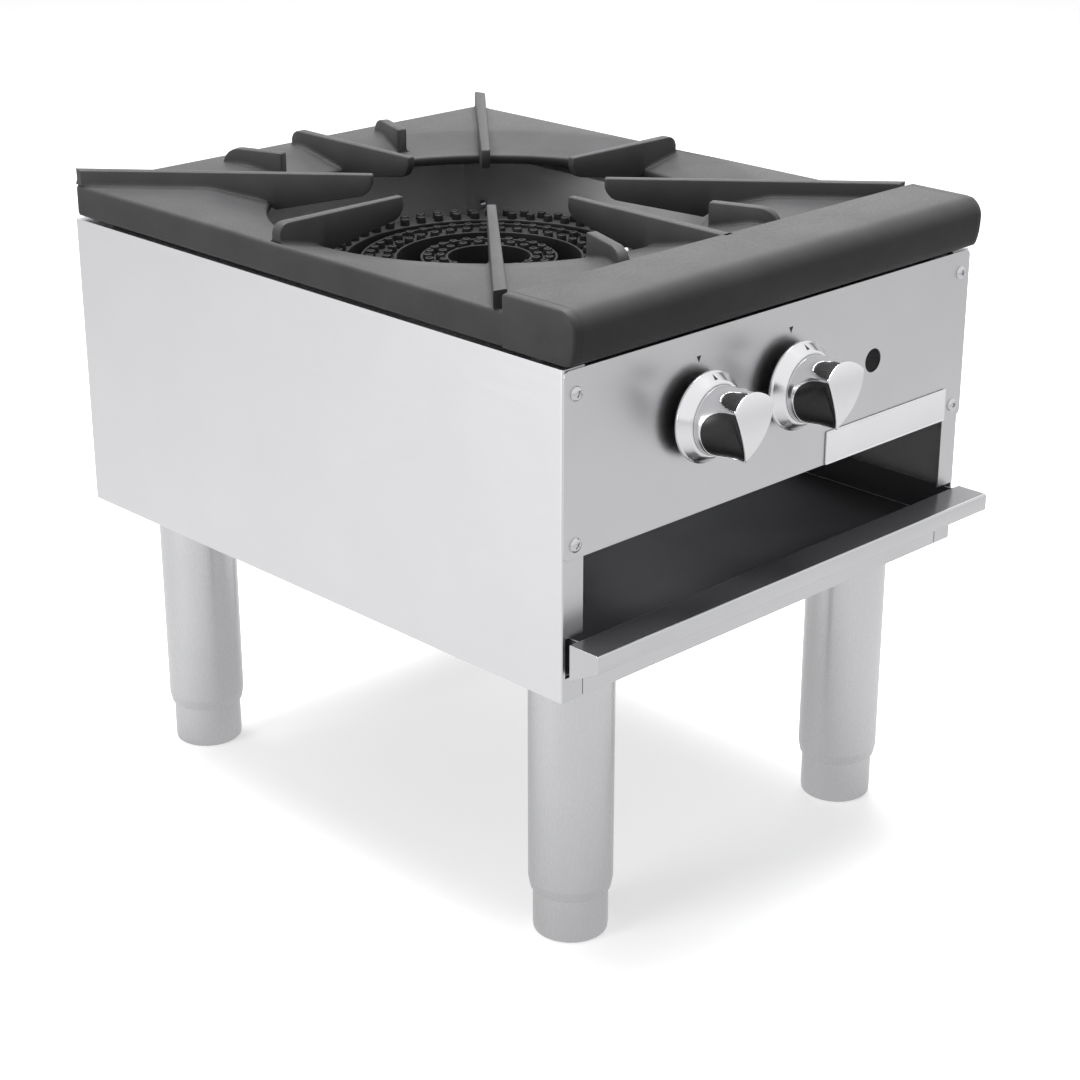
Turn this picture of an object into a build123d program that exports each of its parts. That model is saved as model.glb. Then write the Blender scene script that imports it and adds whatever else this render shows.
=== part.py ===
from build123d import *

import os
from math import atan2, cos, degrees, radians, sin, sqrt

# A free-standing gas stock pot range with one three-ring burner on four adjustable legs.
# Millimetres. +Z is up, +Y points to the rear and +X to the user's right. The origin lies on the
# floor below the middle of the body. Each piece of the range is a solid of its own.

# ---- body -------------------------------------------------------------------------------------
body_width = 457.0  # outside of the side panels, a nominal 18 in range
body_depth = 576.0  # front flanges to rear flanges
body_height = 249.0  # sheet metal box without legs and grate
body_bottom = 233.0  # height of the box above the floor
side_gauge = 1.2
side_bend_radius = 2.0
front_flange = 21.0
rear_flange = 15.0
top_flange = 20.0
bottom_flange = 20.0
base_gauge = 1.5
base_channel_depth = 108.8
base_channel_rise = 17.0
rail_side_gap = 0.7

# ---- control panel ----------------------------------------------------------------------------
panel_gauge = 1.5
panel_height = 139.0
panel_corner_radius = 5.0
panel_return = 26.0
panel_return_margin = 22.5  # sides of the body to the ends of the returns
panel_drop = 1.0  # panel top below the body top
stem_hole_radius = 6.0
lighting_hole_inset = 118.9  # right side of the body to the hole
lighting_hole_drop = 66.8  # panel top to the hole
lighting_hole_radius = 9.5
nameplate_width = 151.0
nameplate_height = 27.0
nameplate_thickness = 1.8
nameplate_margin = 22.5  # right side of the body to the plate

# ---- control panel screws ---------------------------------------------------------------------
screw_inset = 11.5  # sides of the body to the screws
screw_margin_low = 10.5
screw_margin_high = 17.5
screw_head_radius = 5.5
screw_head_height = 2.8
screw_head_rounding = 0.7 * screw_head_height
screw_shank_radius = 2.2
screw_shank_length = 11.0
screw_hole_clearance = 0.2
recess_length = 5.6
recess_width = 1.3
recess_depth = 1.2

# ---- knobs ------------------------------------------------------------------------------------
left_knob_x = -93.0
knob_spacing = 101.6
knob_drop = 61.5  # panel top to the knobs' axes
knob_back_radius = 32.0
knob_back_gap = 5.5  # panel to black back disc
knob_back_thickness = 3.5
skirt_radius = 34.5
skirt_rim = 2.0
skirt_rise = 9.0  # height of the cone above the rim
hub_radius = 26.0
knob_boss_radius = 20.0
collar_height = 4.0
grip_height = 26.0  # collar to the level where the grip has its full outline
crown_room = 10.0  # material above that level, trimmed by the crown
crown_radius = 61.0  # curved face of the grip
crown_axis_rise = 4.8
crown_reach = 55.2  # panel to the highest point of the crown
grip_arc_radius = 27.6
grip_tip_radius = 25.7
grip_corner_angle = 41.0
grip_flank_bulge = 1.2
shell_thickness = 2.2
bridge_angle = 26.0  # half angle of the chrome bridge over the top of the grip
ridge_angle = 2.4  # half angle of the chrome ridges between the scoops
stem_radius = 3.5
stem_clearance = 0.05
stem_reach = 37.0  # panel to the stem's front end

# ---- gas train --------------------------------------------------------------------------------
pipe_radius = 13.335  # three-quarter inch pipe
pipe_wall = 2.87
manifold_left_reach = 42.0  # manifold beyond the left knob's axis
supply_inset = 30.0  # right side of the body to the supply pipe
fitting_radius = 17.5
plug_length = 14.0
plug_spigot = 8.0
valve_body_radius = 14.0
valve_setback = 8.0  # front flanges to the valve bodies
valve_length = 34.0
valve_outlet_setback = 18.0
valve_outlet_radius = 8.0
valve_bore_depth = 20.0
manifold_boss_radius = 12.0
valve_port_radius = 4.0
pilot_port_radius = 2.0
hood_radius = 6.0
hood_chamfer = 2.0
orifice_depth = 8.0
hood_length = 33.5
orifice_radius = 1.3
elbow_run = 12.0
clamp_width = 18.0
clamp_wall = 3.6
clamp_places = (-42.0, 137.0)
clamp_rib_height = 12.0
elbow_arm = 22.0
coupling_length = 24.0
coupling_inset = 17.0  # rear flanges to the middle of the coupling
pipe_end_gap = 6.0  # between the two pipe ends in the coupling
inlet_projection = 56.7  # inlet nipple beyond the rear flanges
thread_radius = 12.6  # mean radius of the three-quarter inch thread
thread_length = 20.0
inlet_hole_clearance = 1.2

# ---- burner -----------------------------------------------------------------------------------
burner_y = 28.0
burner_drop = 57.0  # body top to the undersides of the rings
inner_ring_radii = (34.0, 57.0)
inner_port_counts = (18, 26)
middle_port_counts = (36, 44)
outer_port_counts = (48, 54)
middle_ring_radii = (76.5, 107.0)
outer_ring_radii = (119.0, 140.0)
inner_ring_height = 29.0
outer_ring_height = 32.0
rim_width = 2.2  # raised edges of the inner and middle rings
rim_height = 3.0
ring_floor = 5.0
ring_wall = 5.0
ring_roof = 6.0
port_boss_radius = 4.2
port_boss_height = 5.5
port_boss_taper = 8.0
port_bore_radius = 1.5
bridge_width = 16.0
bridge_height = 13.0
bridge_first_angle = 15.0
mixer_drop = 45.0  # rings to the mixer tubes' axes
mixer_outer_radius = 19.0
mixer_bore_radius = 15.0
hood_reach = 2.5  # orifice hood into the bell
mixer_bell_radius = 26.0
mixer_bell_length = 9.0
mixer_cone_length = 8.0
mixer_face_wall = 3.0
neck_radius = 15.0
neck_bore_radius = 11.0
air_hole_radius = 5.0
air_hole_circle = 15.5
air_hole_count = 4
spud_hole_radius = 7.5
shutter_gap = 0.3
shutter_gauge = 2.0
shutter_rim = 6.0
shutter_rim_wall = 1.2
support_bar_width = 25.0
support_bar_gauge = 2.0
support_bar_drop = 22.0
front_bar_offset = 123.5  # burner axis to the bars
rear_bar_offset = 44.5

# ---- pilot ------------------------------------------------------------------------------------
pilot_x = 88.0
pilot_offset = 72.0  # burner axis to the pilot
pilot_tube_radius = 2.4
pilot_tube_wall = 0.8
pilot_run_drop = 3.0  # mixer axis to the pilot tube's run
pilot_bend_radius = 10.0
pilot_tip_radius = 4.5
pilot_tip_rise = 21.0  # above the rings' undersides
pilot_tip_length = 15.0
pilot_valve_radius = 7.0
pilot_cap_chamfer = (5.0, 2.5)
pilot_valve_length = 14.0
pilot_hole_clearance = 0.8

# ---- heat liners ------------------------------------------------------------------------------
liner_inset = 46.5  # sides of the body to the liners
liner_bell_gap = 19.0  # bells to the front liner
liner_rear_inset = 32.0  # rear flanges to the rear liner
liner_rise = 3.0  # panel bottom to the liners
liner_gauge = 1.0
liner_clip_setback = 24.0  # rear liner to the clips
liner_clip_drop = 48.8
liner_clip_size = 15.0
clip_screw_radius = 4.4
clip_screw_reach = 5.0

# ---- top grate --------------------------------------------------------------------------------
grate_gap = 3.0  # dark gap between the body and the grate's wall
grate_wall_height = 26.0
grate_rear_margin = 1.0  # the grate ends this far ahead of the body's rear face
grate_wall = 8.0
grate_corner_radius = 5.0
opening_radius = 181.0
slope_outer_radius = 230.0
slope_drop = 11.0
rib_height = 13.0  # rib tops above the flat rim
rib_inner_radius = 95.0
rib_tip_width = 7.4
rib_root_width = 9.8
rib_tip_height = 10.0
rib_tip_rounding = 7.0
rib_depth_at_opening = 31.5
rib_end_rounding = 7.0
mid_rib_margin = 8.5  # side of the grate to the rib's end
rear_rib_margin = 10.0
front_rib_bite = 2.0  # front rib into the rail
corner_rib_offset = 3.4  # the ribs aim this far ahead of the rear corners
short_rib_angle = 20.0
short_rib_inner = 195.0
short_rib_margin = 22.2  # rear of the grate to the short ribs' ends
short_rib_rounding = 12.0
short_rib_width = 9.0
rail_overhang = 11.0  # front of the rail ahead of the front flanges
rail_depth = 70.0
rail_nose_height = 15.0
rail_nose_fullness = 0.29
rail_chin_set_back = 0.7
rail_nose_depth = 16.0
rail_toe = 4.5
lug_size = 11.0
lug_inset = 13.0  # sides of the grate to the lugs
lug_front_inset = 33.0
lug_rear_inset = 38.0

# ---- crumb tray -------------------------------------------------------------------------------
tray_gauge = 1.2
tray_side_gap = 8.3  # side panels to the pan
tray_rise = 20.0  # body bottom to the pan
tray_depth = 28.0
tray_rear_inset = 12.0  # rear flanges to the pan
lip_side_inset = 1.0
lip_bend_radius = 2.0
lip_depth = 27.0
lip_height = 13.5
lip_gap = 8.0  # front flanges to the rear edge of the lip
notch_edge = 3.5
notch_clearance = 1.5
runner_gap = 0.3
runner_width = 22.0
runner_rise = 23.0
runner_gauge = 1.5

# ---- legs -------------------------------------------------------------------------------------
leg_radius = 33.0
leg_wall = 1.6
leg_inset_x = 65.8
leg_inset_y = 55.3
leg_shoulder = 46.0
leg_end = 38.0
leg_end_radius = 31.25
foot_radius = 29.35
foot_clearance = 0.3
foot_wall = 1.6
foot_length = 100.0
foot_edge_radius = 3.0
stud_radius = 8.0
stud_clearance = 0.05
stud_above_nut = 8.0
leg_nut_base = 122.0
leg_nut_height = 10.0
mount_plate_width = 100.0
mount_plate_depth = 90.0
mount_plate_gauge = 4.0
spigot_clearance = 0.2
spigot_length = 28.0
spigot_wall = 3.0
leg_bolt_spread_x = 38.0
leg_bolt_spread_y = 36.0
leg_bolt_radius = 4.0
leg_bolt_head_radius = 6.5
leg_bolt_head_height = 4.5
leg_nut_wall = 6.0
bolt_clearance = 0.3

# ---- worked-out places ------------------------------------------------------------------------
half_width = body_width / 2
half_depth = body_depth / 2
inner_half_width = half_width - side_gauge
front_inside = -half_depth + side_gauge
rear_inside = half_depth - side_gauge
body_top = body_bottom + body_height
flange_underside = body_top - side_gauge
panel_top = body_top - panel_drop
panel_bottom = panel_top - panel_height
panel_face = half_depth + panel_gauge
screw_x = half_width - screw_inset
screw_heights = (panel_bottom + screw_margin_low, panel_top - screw_margin_high)
panel_return_half_width = half_width - panel_return_margin
lighting_hole_x = half_width - lighting_hole_inset
lighting_hole_height = panel_top - lighting_hole_drop
nameplate_x = half_width - nameplate_margin - nameplate_width / 2
knob_height = panel_top - knob_drop
back_screw_x = inner_half_width - 7.3
back_screw_heights = (body_bottom + 37, body_top - 122, body_top - 29)
knob_places = {"left": left_knob_x, "right": left_knob_x + knob_spacing}
leg_x = half_width - leg_inset_x
leg_y = half_depth - leg_inset_y
leg_places = {
    "front_left": (-leg_x, -leg_y),
    "front_right": (leg_x, -leg_y),
    "rear_left": (-leg_x, leg_y),
    "rear_right": (leg_x, leg_y),
}
channel_inner_edge = half_depth - side_gauge - base_channel_depth
channel_top = body_bottom + base_channel_rise
manifold_height = knob_height
valve_front = -half_depth + valve_setback
valve_rear = valve_front + valve_length
valve_outlet_y = valve_front + valve_outlet_setback
hood_front = valve_outlet_y + elbow_run
hood_rear = hood_front + hood_length
mixer_front = hood_rear - hood_reach
manifold_y = valve_rear + valve_outlet_setback
manifold_left_end = left_knob_x - manifold_left_reach
supply_x = half_width - supply_inset
supply_end = half_depth - coupling_inset - pipe_end_gap / 2
nipple_start = supply_end + pipe_end_gap
liner_half_width = half_width - liner_inset
liner_outer = liner_half_width + liner_gauge
liner_front = mixer_front + liner_bell_gap
liner_rear = half_depth - liner_rear_inset
liner_bottom = panel_bottom + liner_rise
liner_top = flange_underside
liner_clip_y = liner_rear - liner_clip_setback
liner_clip_height = liner_top - liner_clip_drop
burner_base = body_top - burner_drop
inner_ring_top = burner_base + inner_ring_height
outer_ring_top = burner_base + outer_ring_height
mixer_height = burner_base - mixer_drop
front_bar_y = burner_y - front_bar_offset
rear_bar_y = burner_y + rear_bar_offset
pilot_y = burner_y - pilot_offset
pilot_run_height = mixer_height - pilot_run_drop
pilot_tip_base = burner_base + pilot_tip_rise
pilot_tip_top = pilot_tip_base + pilot_tip_length
grate_bottom = body_top + grate_gap
rim_top = grate_bottom + grate_wall_height
rib_top = rim_top + rib_height
grate_rear = half_depth - grate_rear_margin
rail_front = -(half_depth + rail_overhang)
rail_rear = rail_front + rail_depth
lug_x = half_width - lug_inset
lug_front_y = -half_depth + lug_front_inset
lug_rear_y = half_depth - lug_rear_inset
mid_rib_reach = half_width - mid_rib_margin
rear_rib_reach = grate_rear - burner_y - rear_rib_margin
front_rib_reach = burner_y - rail_rear + front_rib_bite
corner_rib_angle = degrees(atan2(grate_rear - burner_y - corner_rib_offset, half_width))
short_rib_outer = (grate_rear - burner_y - short_rib_margin) / cos(radians(short_rib_angle))
tray_floor = body_bottom + tray_rise
tray_top = tray_floor + tray_depth
tray_rear = half_depth - tray_rear_inset
stud_top = leg_nut_base + leg_nut_height + stud_above_nut
pipe_bore = pipe_radius - pipe_wall
mixer_ends = {"left": burner_y, "right": burner_y - sum(inner_ring_radii) / 2}
outer_ring_mean = sum(outer_ring_radii) / 2

os.makedirs("parts", exist_ok=True)


def save(piece, label):
    """Names a finished piece and writes its solids."""
    piece.part.label = label
    export_step(piece.part, f"parts/{label}.step")


def slab(x_range, y_range, z_range, mode=Mode.ADD):
    """Adds a flat plate or bar between three pairs of limits."""
    with BuildSketch(Plane.XY.offset(z_range[0])) as outline:
        with Locations((sum(x_range) / 2, sum(y_range) / 2)):
            Rectangle(x_range[1] - x_range[0], y_range[1] - y_range[0])
    extrude(outline.sketch, amount=z_range[1] - z_range[0], mode=mode)


def post(points, radius, z_range, mode=Mode.ADD):
    """Adds upright round bars at the given points, seen from above."""
    with BuildSketch(Plane.XY.offset(z_range[0])) as outline:
        with Locations(*points):
            Circle(radius)
    extrude(outline.sketch, amount=z_range[1] - z_range[0], mode=mode)


def rod(points, radius, y_range, mode=Mode.ADD):
    """Adds round bars that run front to rear, at points (x, z)."""
    with BuildSketch(Plane.XZ.offset(-y_range[0])) as outline:
        with Locations(*points):
            Circle(radius)
    extrude(outline.sketch, amount=-(y_range[1] - y_range[0]), mode=mode)


def cross_bar(points, radius, x_range, mode=Mode.ADD):
    """Adds round bars that run left to right, at points (y, z)."""
    with BuildSketch(Plane.YZ.offset(x_range[0])) as outline:
        with Locations(*points):
            Circle(radius)
    extrude(outline.sketch, amount=x_range[1] - x_range[0], mode=mode)


# ---- side panels ------------------------------------------------------------------------------
notch_bottom = tray_floor - notch_clearance
notch_top = tray_top + notch_clearance
screw_hole_radius = screw_shank_radius + screw_hole_clearance

with BuildPart() as left_side_panel:
    with BuildSketch(Plane.XY.offset(body_bottom)):
        with BuildLine():
            Polyline(
                (-half_width + front_flange, -half_depth),
                (-half_width, -half_depth),
                (-half_width, half_depth),
                (-half_width + rear_flange, half_depth),
                (-half_width + rear_flange, rear_inside),
                (-inner_half_width, rear_inside),
                (-inner_half_width, front_inside),
                (-half_width + front_flange, front_inside),
                close=True,
            )
        make_face()
    extrude(amount=body_height)
    slab(
        (-inner_half_width, -half_width + top_flange),
        (front_inside, rear_inside),
        (flange_underside, body_top),
    )
    slab(
        (-inner_half_width, -half_width + bottom_flange),
        (-channel_inner_edge, channel_inner_edge),
        (body_bottom, body_bottom + side_gauge),
    )
    outer_bends = left_side_panel.edges().filter_by(Axis.Z).group_by(Axis.X)[0]
    fillet(outer_bends, side_bend_radius)
    slab(
        (-half_width + notch_edge, -half_width + front_flange + 1),
        (-half_depth - 1, front_inside),
        (notch_bottom, notch_top),
        mode=Mode.SUBTRACT,
    )
    rod(
        [(-screw_x, height) for height in screw_heights],
        screw_hole_radius,
        (-half_depth - 1, front_inside + 1),
        mode=Mode.SUBTRACT,
    )
    rod(
        [(-back_screw_x, height) for height in back_screw_heights],
        screw_hole_radius,
        (rear_inside - 1, half_depth + 1),
        mode=Mode.SUBTRACT,
    )
save(left_side_panel, "left_side_panel")

with BuildPart() as right_side_panel:
    mirror(left_side_panel.part, about=Plane.YZ)
save(right_side_panel, "right_side_panel")

# ---- back panel and its screws ----------------------------------------------------------------
back_panel_face = rear_inside - side_gauge
back_screw_places = [(side * back_screw_x, height) for side in (-1, 1) for height in back_screw_heights]

with BuildPart() as back_panel:
    slab(
        (-inner_half_width, inner_half_width),
        (back_panel_face, rear_inside),
        (channel_top + 1, flange_underside),
    )
    rod(
        [(supply_x, manifold_height)],
        pipe_radius + inlet_hole_clearance,
        (back_panel_face - 1, rear_inside + 1),
        mode=Mode.SUBTRACT,
    )
    rod(back_screw_places, screw_hole_radius, (back_panel_face - 1, rear_inside + 1), mode=Mode.SUBTRACT)
save(back_panel, "back_panel")

with BuildPart() as back_panel_screws:
    rod(back_screw_places, screw_head_radius, (half_depth, half_depth + screw_head_height))
    fillet(back_panel_screws.edges().group_by(Axis.Y)[-1], screw_head_rounding)
    rod(back_screw_places, screw_shank_radius, (half_depth - screw_shank_length, half_depth))
save(back_panel_screws, "back_panel_screws")

# ---- control panel, nameplate and screws ------------------------------------------------------
panel_screw_places = [(side * screw_x, height) for side in (-1, 1) for height in screw_heights]

with BuildPart() as control_panel:
    with BuildSketch(Plane.XZ.offset(half_depth)):
        with Locations((0, (panel_top + panel_bottom) / 2)):
            RectangleRounded(body_width, panel_height, panel_corner_radius)
        with Locations(*[(x, knob_height) for x in knob_places.values()]):
            Circle(stem_hole_radius, mode=Mode.SUBTRACT)
        with Locations((lighting_hole_x, lighting_hole_height)):
            Circle(lighting_hole_radius, mode=Mode.SUBTRACT)
        with Locations(*panel_screw_places):
            Circle(screw_hole_radius, mode=Mode.SUBTRACT)
    extrude(amount=panel_gauge)
    for return_bottom in (panel_bottom, panel_top - panel_gauge):
        slab(
            (-panel_return_half_width, panel_return_half_width),
            (-half_depth, -half_depth + panel_return),
            (return_bottom, return_bottom + panel_gauge),
        )
save(control_panel, "control_panel")

with BuildPart() as nameplate:
    with BuildSketch(Plane.XZ.offset(panel_face)):
        with Locations((nameplate_x, panel_bottom + nameplate_height / 2)):
            RectangleRounded(nameplate_width, nameplate_height, 1.0)
    extrude(amount=nameplate_thickness)
    chamfer(nameplate.faces().sort_by(Axis.Y)[0].edges(), 0.5)
save(nameplate, "nameplate")

with BuildPart() as panel_screws:
    with BuildSketch(Plane.XZ.offset(panel_face)):
        with Locations(*panel_screw_places):
            Circle(screw_head_radius)
    extrude(amount=screw_head_height)
    fillet(panel_screws.edges().group_by(Axis.Y)[0], screw_head_rounding)
    with BuildSketch(Plane.XZ.offset(panel_face)):
        with Locations(*panel_screw_places):
            Circle(screw_shank_radius)
    extrude(amount=-screw_shank_length)
    with BuildSketch(Plane.XZ.offset(panel_face + screw_head_height)):
        with Locations(*panel_screw_places):
            Rectangle(recess_length, recess_width, rotation=45)
            Rectangle(recess_length, recess_width, rotation=-45)
    extrude(amount=-recess_depth, mode=Mode.SUBTRACT)
save(panel_screws, "panel_screws")

# ---- base channels ----------------------------------------------------------------------------
spigot_radius = leg_radius - leg_wall - spigot_clearance
leg_bolt_places = [
    (x + side_x * leg_bolt_spread_x, y + side_y * leg_bolt_spread_y)
    for x, y in leg_places.values()
    for side_x in (-1, 1)
    for side_y in (-1, 1)
]
front_leg_bolts = [place for place in leg_bolt_places if place[1] < 0]

with BuildPart() as base_front_channel:
    slab(
        (-inner_half_width, inner_half_width),
        (front_inside, -channel_inner_edge),
        (body_bottom, body_bottom + base_gauge),
    )
    slab(
        (-inner_half_width, inner_half_width),
        (-channel_inner_edge - base_gauge, -channel_inner_edge),
        (body_bottom, channel_top),
    )
    front_rail_half_width = half_width - front_flange - rail_side_gap
    slab(
        (-front_rail_half_width, front_rail_half_width),
        (-half_depth, front_inside + base_gauge),
        (body_bottom, channel_top),
    )
    slab(
        (-front_rail_half_width - 1, front_rail_half_width + 1),
        (-half_depth + base_gauge, front_inside + base_gauge + 1),
        (body_bottom + base_gauge, channel_top + 1),
        mode=Mode.SUBTRACT,
    )
    post([leg_places["front_left"], leg_places["front_right"]], spigot_radius + spigot_clearance,
         (body_bottom - 1, body_bottom + base_gauge + 1), mode=Mode.SUBTRACT)
    post(front_leg_bolts, leg_bolt_radius + bolt_clearance,
         (body_bottom - 1, body_bottom + base_gauge + 1), mode=Mode.SUBTRACT)
save(base_front_channel, "base_front_channel")

with BuildPart() as base_rear_channel:
    slab(
        (-inner_half_width, inner_half_width),
        (channel_inner_edge, rear_inside),
        (body_bottom, body_bottom + base_gauge),
    )
    for wall_start in (channel_inner_edge, rear_inside - base_gauge):
        slab(
            (-inner_half_width, inner_half_width),
            (wall_start, wall_start + base_gauge),
            (body_bottom, channel_top),
        )
    post([leg_places["rear_left"], leg_places["rear_right"]], spigot_radius + spigot_clearance,
         (body_bottom - 1, body_bottom + base_gauge + 1), mode=Mode.SUBTRACT)
    post([place for place in leg_bolt_places if place[1] > 0], leg_bolt_radius + bolt_clearance,
         (body_bottom - 1, body_bottom + base_gauge + 1), mode=Mode.SUBTRACT)
save(base_rear_channel, "base_rear_channel")

# ---- leg mounting plates, bolts and nuts ------------------------------------------------------
plate_bottom = body_bottom + base_gauge
plate_top = plate_bottom + mount_plate_gauge

with BuildPart() as leg_mounts:
    for x, y in leg_places.values():
        slab(
            (x - mount_plate_width / 2, x + mount_plate_width / 2),
            (y - mount_plate_depth / 2, y + mount_plate_depth / 2),
            (plate_bottom, plate_top),
        )
    post(leg_places.values(), spigot_radius, (body_bottom - spigot_length, plate_bottom))
    post(leg_places.values(), spigot_radius - spigot_wall,
         (body_bottom - spigot_length - 1, plate_top + 1), mode=Mode.SUBTRACT)
    post(leg_bolt_places, leg_bolt_radius + bolt_clearance, (plate_bottom - 1, plate_top + 1),
         mode=Mode.SUBTRACT)
save(leg_mounts, "leg_mounts")

with BuildPart() as leg_bolts:
    with BuildSketch(Plane.XY.offset(body_bottom)):
        with Locations(*leg_bolt_places):
            RegularPolygon(leg_bolt_head_radius, 6)
    extrude(amount=-leg_bolt_head_height)
    post(leg_bolt_places, leg_bolt_radius, (body_bottom, plate_top + leg_nut_wall))
save(leg_bolts, "leg_bolts")

with BuildPart() as leg_nuts:
    with BuildSketch(Plane.XY.offset(plate_top)):
        with Locations(*leg_bolt_places):
            RegularPolygon(leg_bolt_head_radius, 6)
            Circle(leg_bolt_radius, mode=Mode.SUBTRACT)
    extrude(amount=leg_nut_wall)
save(leg_nuts, "leg_nuts")

# ---- legs and adjustable feet -----------------------------------------------------------------
for corner, (x, y) in leg_places.items():
    leg_axis = Plane(origin=(x, y, 0), x_dir=(1, 0, 0), z_dir=(0, -1, 0))
    with BuildPart() as leg:
        with BuildSketch(leg_axis):
            with BuildLine():
                Polyline(
                    (leg_end_radius, leg_end),
                    (leg_radius, leg_shoulder),
                    (leg_radius, body_bottom),
                    (leg_radius - leg_wall, body_bottom),
                    (leg_radius - leg_wall, leg_nut_base + leg_nut_height),
                    (stud_radius + stud_clearance, leg_nut_base + leg_nut_height),
                    (stud_radius + stud_clearance, leg_nut_base),
                    (leg_radius - leg_wall, leg_nut_base),
                    (leg_radius - leg_wall, leg_shoulder),
                    (foot_radius + foot_clearance, leg_end),
                    close=True,
                )
            make_face()
        revolve(axis=Axis((x, y, 0), (0, 0, 1)))
    save(leg, f"leg_{corner}")

    with BuildPart() as foot:
        with BuildSketch(leg_axis):
            with BuildLine():
                Polyline(
                    (0, 0),
                    (foot_radius, 0),
                    (foot_radius, foot_length),
                    (foot_radius - foot_wall, foot_length),
                    (foot_radius - foot_wall, foot_wall * 2),
                    (stud_radius, foot_wall * 2),
                    (stud_radius, stud_top),
                    (0, stud_top),
                    close=True,
                )
            make_face()
        revolve(axis=Axis((x, y, 0), (0, 0, 1)))
        fillet(foot.edges().group_by(Axis.Z)[0], foot_edge_radius)
    save(foot, f"foot_{corner}")

# ---- tray runners -----------------------------------------------------------------------------
runner_top = tray_floor - runner_gap
runner_front = front_inside + 2

with BuildPart() as left_tray_runner:
    slab(
        (-inner_half_width, -inner_half_width + runner_width),
        (runner_front, back_panel_face - 2),
        (runner_top - runner_gauge, runner_top),
    )
    slab(
        (-inner_half_width, -inner_half_width + runner_gauge),
        (runner_front, back_panel_face - 2),
        (runner_top - runner_gauge, runner_top + runner_rise),
    )
save(left_tray_runner, "left_tray_runner")

with BuildPart() as right_tray_runner:
    mirror(left_tray_runner.part, about=Plane.YZ)
save(right_tray_runner, "right_tray_runner")

# ---- crumb tray -------------------------------------------------------------------------------
lip_rear = -half_depth - lip_gap
lip_front = lip_rear - lip_depth
lip_bottom = tray_top - lip_height
tray_half = inner_half_width - tray_side_gap
lip_half = half_width - lip_side_inset

with BuildPart() as crumb_tray:
    slab((-tray_half, tray_half), (lip_rear, tray_rear), (tray_floor, tray_top))
    slab(
        (-tray_half + tray_gauge, tray_half - tray_gauge),
        (lip_rear + tray_gauge, tray_rear - tray_gauge),
        (tray_floor + tray_gauge, tray_top),
        mode=Mode.SUBTRACT,
    )
    slab((-lip_half, lip_half), (lip_front, lip_rear + tray_gauge), (tray_top - tray_gauge, tray_top))
    slab((-lip_half, lip_half), (lip_front, lip_front + tray_gauge), (lip_bottom, tray_top))
    for end in (-lip_half, lip_half - tray_gauge):
        with BuildSketch(Plane.YZ.offset(end)):
            with BuildLine():
                Polyline(
                    (lip_front, lip_bottom),
                    (lip_rear + tray_gauge, tray_floor),
                    (lip_rear + tray_gauge, tray_top),
                    (lip_front, tray_top),
                    close=True,
                )
            make_face()
        extrude(amount=tray_gauge)
    slab(
        (-lip_half, lip_half),
        (lip_rear, lip_rear + tray_gauge),
        (tray_floor, tray_top),
    )
    lip_bend = crumb_tray.edges().filter_by(Axis.X).group_by(Axis.Z)[-1].sort_by(Axis.Y)[0]
    fillet(lip_bend, lip_bend_radius)
save(crumb_tray, "crumb_tray")

# ---- heat liners ------------------------------------------------------------------------------
liner_flange_bottom = liner_top - liner_gauge
mixer_places = {side: (x, mixer_height) for side, x in knob_places.items()}

with BuildPart() as left_liner:
    slab((-liner_outer, -liner_half_width), (liner_front, liner_rear), (liner_bottom, liner_top))
    slab((-inner_half_width, -liner_half_width), (liner_front, liner_rear), (liner_flange_bottom, liner_top))
save(left_liner, "left_liner")

with BuildPart() as right_liner:
    mirror(left_liner.part, about=Plane.YZ)
save(right_liner, "right_liner")

with BuildPart() as rear_liner:
    slab(
        (-liner_outer, liner_outer),
        (liner_rear, liner_rear + liner_gauge),
        (liner_bottom, liner_top),
    )
    slab((-liner_outer, liner_outer), (liner_rear, back_panel_face), (liner_flange_bottom, liner_top))
save(rear_liner, "rear_liner")

front_liner_top = panel_top - panel_gauge
pilot_hole_radius = pilot_tube_radius + pilot_hole_clearance
liner_front_face = liner_front - liner_gauge

with BuildPart() as front_liner:
    slab((-liner_outer, liner_outer), (liner_front_face, liner_front), (liner_bottom, front_liner_top))
    slab(
        (-liner_outer, liner_outer),
        (-half_depth + 4, liner_front),
        (front_liner_top - liner_gauge, front_liner_top),
    )
    rod(mixer_places.values(), mixer_outer_radius, (liner_front_face - 1, liner_front + 1), mode=Mode.SUBTRACT)
    rod([(pilot_x, pilot_run_height)], pilot_hole_radius, (liner_front_face - 1, liner_front + 1),
        mode=Mode.SUBTRACT)
save(front_liner, "front_liner")

with BuildPart() as liner_clips:
    for side in (-1, 1):
        inner_face = side * liner_half_width
        slab(
            tuple(sorted((inner_face, inner_face - side * 2))),
            (liner_clip_y - liner_clip_size / 2, liner_clip_y + liner_clip_size / 2),
            (liner_clip_height - liner_clip_size / 2, liner_clip_height + liner_clip_size / 2),
        )
        cross_bar(
            [(liner_clip_y, liner_clip_height)],
            clip_screw_radius,
            tuple(sorted((inner_face - side * 2, inner_face - side * clip_screw_reach))),
        )
save(liner_clips, "liner_clips")

# ---- burner supports --------------------------------------------------------------------------
with BuildPart() as burner_supports:
    for bar_y in (front_bar_y, rear_bar_y):
        bar_front = bar_y - support_bar_width / 2
        slab(
            (-liner_half_width, liner_half_width),
            (bar_front, bar_front + support_bar_width),
            (burner_base - support_bar_gauge, burner_base),
        )
        slab(
            (-liner_half_width, liner_half_width),
            (bar_front, bar_front + support_bar_gauge),
            (burner_base - support_bar_drop, burner_base),
        )
        for end in (-liner_half_width, liner_half_width - support_bar_gauge):
            slab(
                (end, end + support_bar_gauge),
                (bar_front, bar_front + support_bar_width),
                (burner_base - support_bar_drop, burner_base),
            )
save(burner_supports, "burner_supports")


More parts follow.
